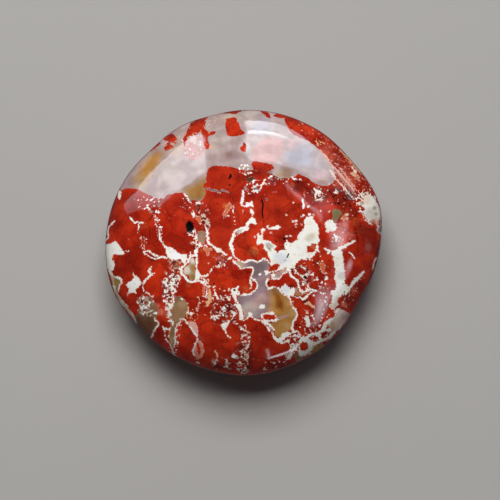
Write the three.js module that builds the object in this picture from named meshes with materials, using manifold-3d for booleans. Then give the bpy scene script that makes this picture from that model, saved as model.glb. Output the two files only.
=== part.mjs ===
// A hand-sized polished palm stone of red jasper: a round pebble with a full dome on top, a slightly
// shallower underside worn flat in the middle, where it rests, and one small open pit in the polish.
// Millimetres, +Z up. The origin is the middle of the stone's bounding box, on the surface it rests on.
import * as THREE from "three";
import { mergeVertices } from "three/addons/utils/BufferGeometryUtils.js";
import Module from "manifold-3d";

// Heights above and below the girdle, which is the widest line round the stone.
const DOME_HEIGHT = 9.7;
const UNDERSIDE_DEPTH = 8.6;
// How much of the underside's lowest bulge is worn away to the flat spot.
const REST_WEAR = 0.26;
// The section's exponent: 2 is an ellipse, and more is a fuller shoulder.
const SHOULDER_FULLNESS = 2.5;

// The plan outline, as radii read at headings counted from +X towards +Y.
const OUTLINE = [
  { heading: 0, radius: 24.7 },
  { heading: 16, radius: 25.5 },
  { heading: 38, radius: 24.8 },
  { heading: 55, radius: 25.0 },
  { heading: 88, radius: 25.0 },
  { heading: 104, radius: 24.7 },
  { heading: 120, radius: 24.8 },
  { heading: 135, radius: 24.4 },
  { heading: 150, radius: 24.7 },
  { heading: 180, radius: 25.0 },
  { heading: 203, radius: 25.3 },
  { heading: 218, radius: 24.8 },
  { heading: 255, radius: 24.8 },
  { heading: 270, radius: 25.0 },
  { heading: 285, radius: 24.7 },
  { heading: 300, radius: 24.3 },
  { heading: 313, radius: 24.1 },
  { heading: 332, radius: 23.4 },
  { heading: 345, radius: 24.0 },
];

// The girdle isn't quite level, and the dome's top stands a little off the middle.
const GIRDLE_WAVE = { lobes: 2, height: 0.35, heading: 60 };
const DOME_LEAN = { x: -0.5, y: 0.6 };

// The pit: where it is, as a heading and a share of the outline's radius, and its size.
const PIT = { heading: 185, share: 0.37, width: 1.25, length: 2.3, depth: 0.9, turn: 4 };

const SECTORS = 80;
const RINGS_EACH_SIDE = 18;
const PIT_SIDES = 12;

const wasm = await Module();
wasm.setup();

// The outline's radius at a heading in degrees: a smooth closed curve through the readings.
function outlineRadius(heading) {
  const turn = 360;
  const at = ((heading % turn) + turn) % turn;
  const count = OUTLINE.length;
  const reading = (i) => {
    const lap = Math.floor(i / count);
    const { heading: angle, radius } = OUTLINE[i - lap * count];
    return { angle: angle + lap * turn, radius };
  };
  const next = OUTLINE.findIndex(({ heading: angle }) => angle > at);
  const start = (next < 0 ? count : next) - 1;
  const [before, from, to, after] = [start - 1, start, start + 1, start + 2].map(reading);
  const span = to.angle - from.angle;
  const slopeFrom = (to.radius - before.radius) / (to.angle - before.angle);
  const slopeTo = (after.radius - from.radius) / (after.angle - from.angle);
  const t = (at - from.angle) / span;
  const easedStart = (1 + 2 * t) * (1 - t) ** 2 * from.radius + t * (1 - t) ** 2 * span * slopeFrom;
  const easedEnd = t * t * (3 - 2 * t) * to.radius + t * t * (t - 1) * span * slopeTo;
  return easedStart + easedEnd;
}

// A point of the surface: share is the distance from the middle over the outline's radius, and
// height is the height over a level girdle. The wave and the lean bend the plain section.
function stonePoint(heading, share, height) {
  const angle = THREE.MathUtils.degToRad(heading);
  const radius = share * outlineRadius(heading);
  const waveAngle = THREE.MathUtils.degToRad(heading - GIRDLE_WAVE.heading);
  const wave = GIRDLE_WAVE.height * Math.cos(GIRDLE_WAVE.lobes * waveAngle) * share ** 3;
  const lean = (1 - share * share) * (height / DOME_HEIGHT);
  const restLevel = REST_WEAR - UNDERSIDE_DEPTH;
  return new THREE.Vector3(
    radius * Math.cos(angle) + DOME_LEAN.x * lean,
    radius * Math.sin(angle) + DOME_LEAN.y * lean,
    Math.max(height + wave, restLevel),
  );
}

// The section from the middle of the underside round the girdle to the middle of the dome, at a
// radius of 1. Equal steps of angle put the points closest where the section turns fastest.
function section() {
  const points = [];
  for (let i = -RINGS_EACH_SIDE; i <= RINGS_EACH_SIDE; i++) {
    const angle = (i / RINGS_EACH_SIDE) * (Math.PI / 2);
    const share = Math.abs(i) === RINGS_EACH_SIDE ? 0 : Math.cos(angle) ** (2 / SHOULDER_FULLNESS);
    const height = Math.sin(angle) * (i < 0 ? UNDERSIDE_DEPTH : DOME_HEIGHT);
    points.push(new THREE.Vector2(share, height));
  }
  return points;
}

// A lathed body turned so that its axis is +Z, with only shared positions left.
function standingLathe(profile, sides) {
  const lathe = new THREE.LatheGeometry(profile, sides).rotateX(Math.PI / 2);
  lathe.deleteAttribute("normal");
  lathe.deleteAttribute("uv");
  return mergeVertices(lathe, 1e-6);
}

function solidFrom(geometry) {
  const vertProperties = new Float32Array(geometry.attributes.position.array);
  const triVerts = new Uint32Array(geometry.index.array);
  return new wasm.Manifold(new wasm.Mesh({ numProp: 3, vertProperties, triVerts }));
}

function geometryFrom(solid) {
  const { vertProperties, triVerts } = solid.getMesh();
  const geometry = new THREE.BufferGeometry();
  geometry.setAttribute("position", new THREE.BufferAttribute(vertProperties, 3));
  geometry.setIndex(new THREE.BufferAttribute(triVerts, 1));
  geometry.computeVertexNormals();
  return geometry;
}

// The whole pebble without its pit: the lathed section, with each point moved to the real outline.
function pebble() {
  const geometry = standingLathe(section(), SECTORS);
  const position = geometry.attributes.position;
  for (let i = 0; i < position.count; i++) {
    const share = Math.hypot(position.getX(i), position.getY(i));
    const heading = THREE.MathUtils.radToDeg(Math.atan2(position.getY(i), position.getX(i)));
    const { x, y, z } = stonePoint(heading, share, position.getZ(i));
    position.setXYZ(i, x, y, z);
  }
  return geometry;
}

// The bowl that is taken out of the dome: its profile is for a radius and a depth of 1.
function pitBowl() {
  const profile = [
    [0, -1],
    [0.55, -0.9],
    [0.85, -0.5],
    [1, 0],
    [1.05, 0.6],
    [0, 0.6],
  ].map(([radius, height]) => new THREE.Vector2(radius, height));
  const height = DOME_HEIGHT * Math.sqrt(1 - PIT.share ** SHOULDER_FULLNESS);
  const mouth = stonePoint(PIT.heading, PIT.share, height);
  return standingLathe(profile, PIT_SIDES)
    .scale(PIT.width / 2, PIT.length / 2, PIT.depth)
    .rotateZ(THREE.MathUtils.degToRad(PIT.turn))
    .translate(mouth.x, mouth.y, mouth.z);
}

// Puts the origin in the middle of the bounding box, on the surface that the stone rests on.
function restOnOrigin(geometry) {
  geometry.computeBoundingBox();
  const { min, max } = geometry.boundingBox;
  return geometry.translate(-(min.x + max.x) / 2, -(min.y + max.y) / 2, -min.z);
}

function jasperStone() {
  const carved = solidFrom(pebble()).subtract(solidFrom(pitBowl()));
  const polished = new THREE.MeshStandardMaterial({ color: 0xa02818, roughness: 0.12, metalness: 0 });
  const stone = new THREE.Mesh(restOnOrigin(geometryFrom(carved)), polished);
  stone.name = "jasper_stone";
  return stone;
}

const object = new THREE.Group();
object.add(jasperStone());

export default object;
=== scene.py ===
import math

import bpy
import numpy as np
from bpy.props import FloatProperty, FloatVectorProperty, PointerProperty
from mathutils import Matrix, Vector, noise


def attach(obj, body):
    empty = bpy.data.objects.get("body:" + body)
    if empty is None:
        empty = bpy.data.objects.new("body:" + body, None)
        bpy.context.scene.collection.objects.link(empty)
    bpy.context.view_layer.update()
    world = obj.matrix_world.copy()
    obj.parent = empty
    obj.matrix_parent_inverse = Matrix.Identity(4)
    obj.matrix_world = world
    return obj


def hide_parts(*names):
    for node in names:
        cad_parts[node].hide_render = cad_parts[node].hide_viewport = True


# A polished palm stone of brecciated red jasper, with cream veins and grey, tan and ochre chalcedony.
# Everything is in metres, +Z up, and the stone rests on the surface at height zero.
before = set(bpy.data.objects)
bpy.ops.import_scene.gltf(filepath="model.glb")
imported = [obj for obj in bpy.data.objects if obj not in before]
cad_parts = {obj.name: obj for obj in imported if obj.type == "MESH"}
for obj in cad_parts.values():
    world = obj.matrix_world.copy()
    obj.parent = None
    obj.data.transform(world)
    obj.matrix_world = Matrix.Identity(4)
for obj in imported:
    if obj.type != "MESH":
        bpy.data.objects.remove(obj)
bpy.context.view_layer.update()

bl_info = {
    "name": "Jasper palm stone",
    "version": (1, 0, 0),
    "blender": (4, 5, 0),
    "location": "3D View > Sidebar > Jasper stone",
    "description": "Builds a polished palm stone of brecciated jasper and the stage it is shown on",
    "category": "Object",
}

MM = 0.001
NODE = "jasper_stone"

# The stone's form, with the same driving sizes as its solid.
DOME_HEIGHT = 9.7 * MM
UNDERSIDE_DEPTH = 8.6 * MM
REST_WEAR = 0.26 * MM
SHOULDER_FULLNESS = 2.5
# Headings in degrees from +X towards +Y, with the plan outline's radius in millimetres at each.
OUTLINE = [
    (0, 24.7), (16, 25.5), (38, 24.8), (55, 25.0), (88, 25.0), (104, 24.7), (120, 24.8),
    (135, 24.4), (150, 24.7), (180, 25.0), (203, 25.3), (218, 24.8), (255, 24.8), (270, 25.0),
    (285, 24.7), (300, 24.3), (313, 24.1), (332, 23.4), (345, 24.0),
]
MEAN_RADIUS = 24.8 * MM
GIRDLE_WAVE_LOBES, GIRDLE_WAVE_HEIGHT, GIRDLE_WAVE_HEADING = 2, 0.35 * MM, 60
DOME_LEAN = (-0.5 * MM, 0.6 * MM)
PIT_HEADING, PIT_SHARE = 185, 0.37
PIT_WIDTH, PIT_LENGTH, PIT_DEPTH, PIT_TURN = 1.25 * MM, 2.3 * MM, 0.9 * MM, 4
# The pit's wall runs from its lip down to its floor between these shares of its half width.
PIT_LIP, PIT_FLOOR = 1.1, 0.8
# The polish's waviness: long and short waves to the metre, and the short ones' share.
LONG_WAVES, SHORT_WAVES, SHORT_SHARE = 150, 390, 0.4

# The photo's view: the camera looks along +Y from this height above the horizon, in degrees.
VIEW_ELEVATION = 72
VIEW_DISTANCE = 0.45
PICTURE_SIDE = 500
PIXEL = 0.1807 * MM
GIRDLE_LEVEL = UNDERSIDE_DEPTH - REST_WEAR
# Where the middle of the stone lies in the picture, in pixels.
STONE_IN_PICTURE = (243.85, 241.2)
SENSOR_WIDTH = 36


def srgb(red, green, blue):
    """The linear colour of an 8-bit sRGB one."""
    def linear(value):
        share = value / 255
        return share / 12.92 if share <= 0.04045 else ((share + 0.055) / 1.055) ** 2.4

    return (linear(red), linear(green), linear(blue))


TINTS = {
    "red": srgb(184, 39, 13),
    "cream": srgb(250, 247, 238),
    "white": srgb(252, 251, 250),
    "peach": srgb(233, 176, 128),
    "pink": srgb(222, 130, 108),
    "peach pink": srgb(232, 172, 158),
    "orange": srgb(208, 100, 50),
    "bright red": srgb(205, 52, 18),
    "deep red": srgb(140, 20, 8),
    "maroon": srgb(100, 24, 18),
    "pale grey": srgb(196, 186, 174),
    "grey": srgb(128, 112, 116),
    "lilac": srgb(164, 138, 144),
    "cap grey": srgb(190, 170, 167),
    "golden ochre": srgb(188, 136, 68),
    "rosy": srgb(204, 146, 144),
    "smoky grey": srgb(92, 74, 82),
    "rose": srgb(196, 158, 148),
    "tan": srgb(192, 164, 124),
    "ochre": srgb(176, 120, 44),
    "pale ochre": srgb(196, 158, 104),
    "amber": srgb(146, 80, 20),
    "brown": srgb(156, 118, 84),
    "golden": srgb(166, 124, 66),
    "pale rose": srgb(236, 212, 204),
    "olive": srgb(160, 128, 66),
    "dark brown": srgb(104, 64, 36),
    "ice": srgb(220, 225, 230),
    "pale tan": srgb(220, 208, 188),
    "salmon": srgb(212, 112, 74),
    "earth": srgb(122, 86, 62),
    "moss": srgb(144, 130, 92),
    "tan brown": srgb(172, 134, 110),
    # A painted reflection's tint, for the haze in the cap.
    "reflected blue grey": srgb(168, 170, 188),
    "pale rosy": srgb(204, 158, 153),
}

# The markings were drawn over the photo. Each is an outline or a line in its pixels, and is laid
# on the stone from the photo's camera. A line's third number is its width there.
# Windows are the chalcedony areas, in the order they lie over each other: name, tint and outline. The cap's
# right end is partly painted reflection, a pale haze over mottled red.
WINDOWS = {
    # The cap's right part, from about x 300 to its end, is painted reflection: the right panel's pale haze
    # over mottled red, drawn as chalcedony.
    "cap": ("cap grey", [
        (106, 186), (118, 189), (122, 190), (127, 188.5), (133, 188), (138, 189.5), (146, 194),
        (155, 198), (163, 198), (168, 195), (172, 194), (177, 192.5), (182, 192.5), (185, 195),
        (188, 199), (190, 201), (194, 200), (198, 201), (202, 200.5), (204, 197), (206, 192), (205, 190),
        (203, 187), (203, 184), (207, 182), (206, 178), (207, 173), (208, 169), (214, 165.5), (221, 166),
        (229, 166.5), (238, 168.5), (246, 171), (254, 170), (265, 172.5), (272, 174), (276, 176.5),
        (284, 178.5), (290, 178), (296, 176), (298, 173.5), (301, 175), (306, 177), (310, 180),
        (316, 184), (322, 186), (328, 186), (333, 183), (336, 177), (334, 168), (328, 160), (322, 152.5),
        (316, 146.5), (310, 142), (303, 139), (298, 137), (293, 134), (290, 131), (288, 127), (285, 122),
        (284, 114), (284, 100), (180, 100), (110, 150),
    ]),
    "cap's mottled clast": ("pale rosy", [
        (183.2, 148.5), (184.5, 143), (190, 137.5), (202, 134.5), (206, 140), (205.5, 149), (203, 154.5),
        (196, 160), (188.5, 158.5), (184.5, 154),
    ]),
    "cap dark pocket": ("dark brown", [
        (246.3, 179.3), (248.8, 177.4), (252.7, 175.9), (254.1, 177.4), (255.1, 180.3), (254.6, 182.7),
        (253.2, 182.3), (249.7, 182.3), (247.3, 181.3),
    ]),
    "cap grey pocket": ("grey", [
        (252.2, 187.6), (254.6, 188.1), (256.6, 187.1), (258.5, 189.1), (259.5, 190), (260.9, 191),
        (258.5, 192.2), (255.6, 191.8), (253.2, 190.5), (252.2, 189.1),
    ]),
    "cap lilac pocket": ("lilac", [
        (244.4, 187.1), (245.8, 185.2), (246.8, 186.2), (246.3, 188.1), (247.8, 188.6), (246.3, 190.5),
        (244.9, 189.6),
    ]),
    "middle pocket": ("lilac", [
        (237, 297), (239, 296.3), (242, 296), (248, 294.5), (253.5, 292), (255.5, 290), (257, 287.5),
        (257.3, 284.5), (256.8, 281.5), (255, 279.5), (252.5, 278.5), (251.5, 276.5), (252.5, 273.5),
        (253.8, 271), (253.8, 269), (252, 267.5), (250.5, 266.5), (248.5, 267.2), (245, 267.8),
        (242, 269.2), (240, 267.5), (238.5, 265.5), (236.5, 263.8), (235.5, 262), (237.5, 260.5),
        (240, 262), (243, 262.8), (246, 263), (248.5, 261.5), (252, 261), (255.5, 261.8), (258.5, 262),
        (261, 260.8), (263.5, 259.3), (266.5, 260.5), (268.7, 262), (269.3, 265), (269, 268),
        (268.7, 270.5), (269.5, 272), (271, 273.5), (271, 277), (269, 278.3), (267, 279.5), (266.2, 282),
        (266.5, 285), (267.3, 287), (269, 288.7), (272, 288.3), (275, 287.2), (278, 288), (280.5, 290.5),
        (282.5, 293.5), (285, 295.5), (287.5, 296.3), (289.5, 298.2), (290.8, 301), (291, 303.5),
        (292.3, 306.5), (294.3, 309), (296.3, 311), (296.5, 316), (294, 319.5), (292.3, 324),
        (291.8, 328.5), (288.5, 331.5), (284.5, 332.5), (281.3, 335), (279, 337.5), (276, 336),
        (274.5, 332), (271.5, 328.5), (269.7, 325.5), (272, 322.5), (276, 320.5), (277.8, 318),
        (275.5, 314), (272, 310.5), (266, 312.5), (261, 314), (261, 318.5), (256, 319), (252, 316.5),
        (250.5, 313.5), (247, 318), (243.5, 318), (243.5, 313), (242, 308), (240.5, 304.5), (238.5, 301),
    ]),
    "pocket in the crossing": ("pale grey", [
        (265.8, 243.4), (269.2, 242.9), (271.2, 244.4), (273.6, 246.4), (273.1, 247.3), (270.2, 248.3),
        (271.2, 250.3), (270.2, 251.2), (268.3, 249.3), (266.3, 247.3), (265.3, 245.4),
    ]),
    "small pocket above the boomerang": ("rose", [
        (275.1, 273.1), (277.5, 272.2), (280.4, 270.2), (282.4, 268.8), (283.8, 267.8), (286.8, 268),
        (287.2, 269.7), (285.3, 271.7), (282.9, 273.1), (280.9, 274.6), (279.9, 277), (278, 278),
        (276, 277.5), (275.1, 276.1),
    ]),
    "small pocket right of the boomerang": ("rose", [
        (295, 287.8), (297.5, 287.3), (298, 290.2), (298.5, 292.6), (300.9, 293.6), (304.8, 292.6),
        (306.7, 291.7), (306.2, 293.6), (303.3, 295.1), (300.4, 295.6), (297.5, 295.6), (295, 295.1),
        (295.5, 291.7),
    ]),
    "left tan pocket": ("tan", [
        (191.4, 257.6), (193.4, 258), (194.4, 260.5), (194.6, 262.9), (195.3, 266.3), (195.3, 271.2),
        (194.8, 275.1), (194.8, 279.5), (191.4, 280.5), (189.5, 280), (189, 277), (188.5, 275.1),
        (186.1, 275.1), (183.6, 274.1), (182.7, 272.2), (183.2, 270.2), (184.6, 267.8), (187, 265.8),
        (189.5, 263.9), (190.5, 261),
    ]),
    "tan pocket under the pit": ("tan brown", [
        (196, 235), (198, 231.5), (203, 230.5), (206.3, 232.5), (206, 238), (204.5, 243.3), (200, 244),
        (196.8, 240),
    ]),
    "upper vein's tan heart": ("pale grey", [
        (237, 231), (242.4, 229.6), (240.5, 231.5), (237.5, 233.5), (236, 233),
    ]),
    "brown pocket": ("brown", [
        (175.4, 296), (179.7, 295.6), (182.2, 297), (184.5, 300), (187.5, 303.5), (189.5, 308),
        (188, 312), (185.5, 315), (183, 320.5), (179, 323.5), (174, 322), (170, 316), (171.5, 309.2),
        (172.4, 305.8), (172.9, 302.9), (174.9, 300.4),
    ]),
    "brown pocket's tail": ("brown", [
        (171, 318), (180, 320), (177, 325), (175.5, 332), (175.5, 340), (174.5, 347), (173, 352),
        (170.5, 345), (169, 336), (170, 326),
    ]),
    "lower left dark pocket": ("earth", [
        (135, 317), (139, 311), (145, 309), (152, 309), (156, 314), (158, 322), (155, 329), (152, 335),
        (149, 340), (143, 335), (138, 328), (132, 319),
    ]),
    "left edge ochre": ("olive", [
        (111, 276), (119, 278), (121, 281), (118.5, 285), (118.5, 290), (117, 294), (113.5, 291),
        (112, 284),
    ]),
    "lower left grit pocket": ("brown", [
        (137, 300), (143, 295.5), (150, 297), (156, 303), (158.5, 312), (156, 319), (148, 315),
        (140, 314),
    ]),
    "right lower pocket": ("pale rose", [
        (327.3, 324.8), (332.1, 319.9), (336.9, 313.9), (339.3, 309.1), (344.2, 310.3), (350.2, 313.9),
        (346.6, 321.1), (339.3, 329.6), (335.1, 332), (333.3, 330.2), (329.7, 330.8),
    ]),
    "right lower ochre": ("ochre", [
        (313, 345), (317, 343.5), (321, 344.5), (325, 346), (319, 350), (314, 353), (311, 354),
    ]),
    "bottom brown pocket": ("brown", [
        (296, 352), (300, 350.5), (304, 353), (303, 359), (297, 362), (294, 357),
    ]),
    "shoulder's smoky spot": ("smoky grey", [
        (335, 189), (338, 187.5), (339, 189.5), (341.5, 189), (340, 192.5), (337.5, 191),
    ]),
    "shoulder's dark pocket": ("smoky grey", [
        (344, 191), (348, 190), (350.5, 192.5), (354, 196), (351, 197), (352, 200), (347.5, 198),
        (347, 195),
    ]),
    "grey spot by the long crack": ("smoky grey", [
        (264.6, 198), (266.2, 197.6), (267.3, 199), (266.8, 200.6), (265.2, 200.6),
    ]),
    "right green pocket": ("moss", [
        (332, 211), (335, 208.5), (341, 210), (342, 212), (341, 215), (339, 218), (337, 221), (335, 222),
        (333, 219), (332, 216),
    ]),
    "tan heart of the right vein": ("tan", [
        (333, 294), (337, 293.5), (337.5, 298), (335, 302), (333, 302),
    ]),
}

# Softly bounded parts of the windows: tint, how far its edge fades in pixels, and outline.
WINDOW_ZONES = {
    "middle pocket's ochre end": ("golden ochre", 7, [
        (269, 280), (279, 284), (304, 294), (310, 320), (298, 344), (268, 344), (262, 326), (271, 317),
        (268, 309), (269.5, 300), (269, 290),
    ]),
    "amber streak": ("amber", 3, [
        (271, 289), (277, 287), (280.5, 296), (284, 303), (283, 310), (276.5, 308), (275.5, 298),
    ]),
    "streak in the ochre": ("rose", 0.8, [
        (277, 317), (281, 316.3), (285, 314.8), (288, 314.6), (288.6, 316.2), (284, 318.2), (280, 320),
        (277, 320),
    ]),
    "golden pocket": ("golden", 5, [
        (184, 189), (197, 182), (206, 176), (210, 190), (204, 200), (192, 202), (186, 197),
    ]),
    "ochre on the left": ("golden ochre", 5, [
        (134, 180), (140, 169), (148, 158), (157, 151), (163, 154), (158, 166), (150, 176), (142, 184),
    ]),
    "cap's pink clast": ("pale rosy", 2.5, [
        (251, 158), (250.5, 150.2), (256.5, 144.2), (263.6, 138.6), (272.7, 137.4), (282.5, 139.4),
        (284, 145.7), (281.5, 155), (276.5, 162), (265.1, 164), (253.5, 162.5),
    ]),
}

# Soft stains inside the windows: x, y, how far they reach, tint and strength. In the cap some are painted
# reflection.
WINDOW_STAINS = [
    (248, 309, 8, "brown", 0.35), (193, 139, 5, "white", 0.5), (200, 144, 5, "white", 0.3),
    (192, 150, 5, "rosy", 0.5), (125, 183, 14, "lilac", 0.6), (175, 150, 12, "tan", 0.4),
    (215, 140, 16, "pale grey", 0.3), (232, 155, 10, "lilac", 0.6), (290, 160, 16, "lilac", 0.4),
    (268, 171, 6, "maroon", 0.5), (287, 174, 9, "brown", 0.6), (280, 174, 6, "tan", 0.6),
    (229, 154.5, 5, "brown", 0.5), (245, 148, 8, "white", 0.3), (293, 145, 10, "rosy", 0.4),
    # The blue grey stains, and the rosy one at (320, 176), are painted reflection haze in the cap, not
    # stains.
    (302, 156, 18, "reflected blue grey", 0.7), (291, 158, 9, "reflected blue grey", 0.5), (262, 126, 14, "reflected blue grey", 0.5),
    (318, 170, 12, "reflected blue grey", 0.4), (320, 176, 12, "rosy", 0.35), (198, 190, 6, "amber", 0.25),
    (230, 116, 12, "tan", 0.4), (250, 116, 14, "pale grey", 0.4), (170, 170, 16, "pale grey", 0.5),
    (140, 182, 12, "tan", 0.5), (257, 268, 13, "grey", 0.9), (240, 264.5, 6, "tan", 0.8),
    (262, 285, 8, "lilac", 0.8), (262.5, 298, 6, "rose", 1.0), (240, 299, 8, "grey", 0.6),
    (250, 309, 11, "pale grey", 0.6), (256, 303, 8, "rose", 0.6), (245, 314, 6, "rose", 0.7),
    (277, 291, 5, "brown", 0.7), (287, 302, 6, "pale ochre", 0.4), (284, 326, 7, "pale ochre", 0.4),
    (292, 313, 6, "pale ochre", 0.9), (275, 322, 5, "brown", 0.4), (288, 325, 5, "pale ochre", 0.6),
    (187, 270, 6, "cream", 0.75), (193, 268, 5, "ochre", 0.8), (193, 277, 4, "olive", 0.9),
    (192.5, 261, 4, "cream", 0.6), (201, 236, 3, "rose", 0.5), (176, 300, 5, "dark brown", 0.35),
    (191, 308, 5, "dark brown", 0.6), (182, 304, 6, "tan", 0.4), (173, 340, 7, "tan", 0.5),
    (331, 326, 7, "pale ochre", 0.7), (345, 316, 6, "lilac", 0.5), (147, 326, 8, "maroon", 0.3),
    (144, 303, 5, "olive", 0.5),
]

# Softly bounded parts of the cream, given as the windows' are.
CREAM_ZONES = {
    "tan in the mass": ("pale tan", 2, [(304, 239), (309, 234), (314, 233), (315, 238), (309, 242)]),
    "ice in the mass": ("ice", 3, [
        (273, 254), (279, 252), (287, 255), (289, 261), (281, 265), (274, 262),
    ]),
    "grey in the crossing": ("pale grey", 1.2, [
        (265.3, 243), (269.2, 242.4), (272, 244.4), (274, 246.6), (271.2, 248.6), (271.2, 251.6),
        (268.3, 249.8), (265.8, 247.3),
    ]),
    "heart of the thick vein": ("pale grey", 1, [
        (234, 232.5), (238, 229.8), (243, 229), (241, 232), (236, 235),
    ]),
}

# Soft stains in the cream, given the same way.
CREAM_STAINS = [
    (373, 222, 4, "brown", 0.9), (375.5, 227, 3, "orange", 0.9), (286, 289, 6, "ice", 0.8),
    (298, 250, 6, "white", 0.8), (342, 276, 6, "lilac", 0.45), (339, 300, 6, "tan", 0.5),
    (112, 280, 7, "tan", 0.8), (117, 296, 10, "tan", 0.7), (128, 306, 9, "tan", 0.6),
    (370, 214, 9, "pale grey", 0.6), (366, 200, 7, "peach", 0.4), (376, 222, 6, "pink", 0.5),
    (176, 254, 8, "white", 0.8), (134, 284, 6, "white", 0.9), (246, 335, 8, "tan", 0.4),
    (246, 350, 8, "tan", 0.5), (246, 362, 8, "tan", 0.5), (362, 203, 3, "brown", 0.7),
    (374.5, 208, 3, "brown", 0.7), (376, 214, 2.5, "brown", 0.6), (380.5, 230, 4.5, "smoky grey", 0.8),
    (335, 306, 5, "ochre", 0.4), (262, 306, 3, "white", 1.0), (360, 182, 10, "pink", 0.5),
]

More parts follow.
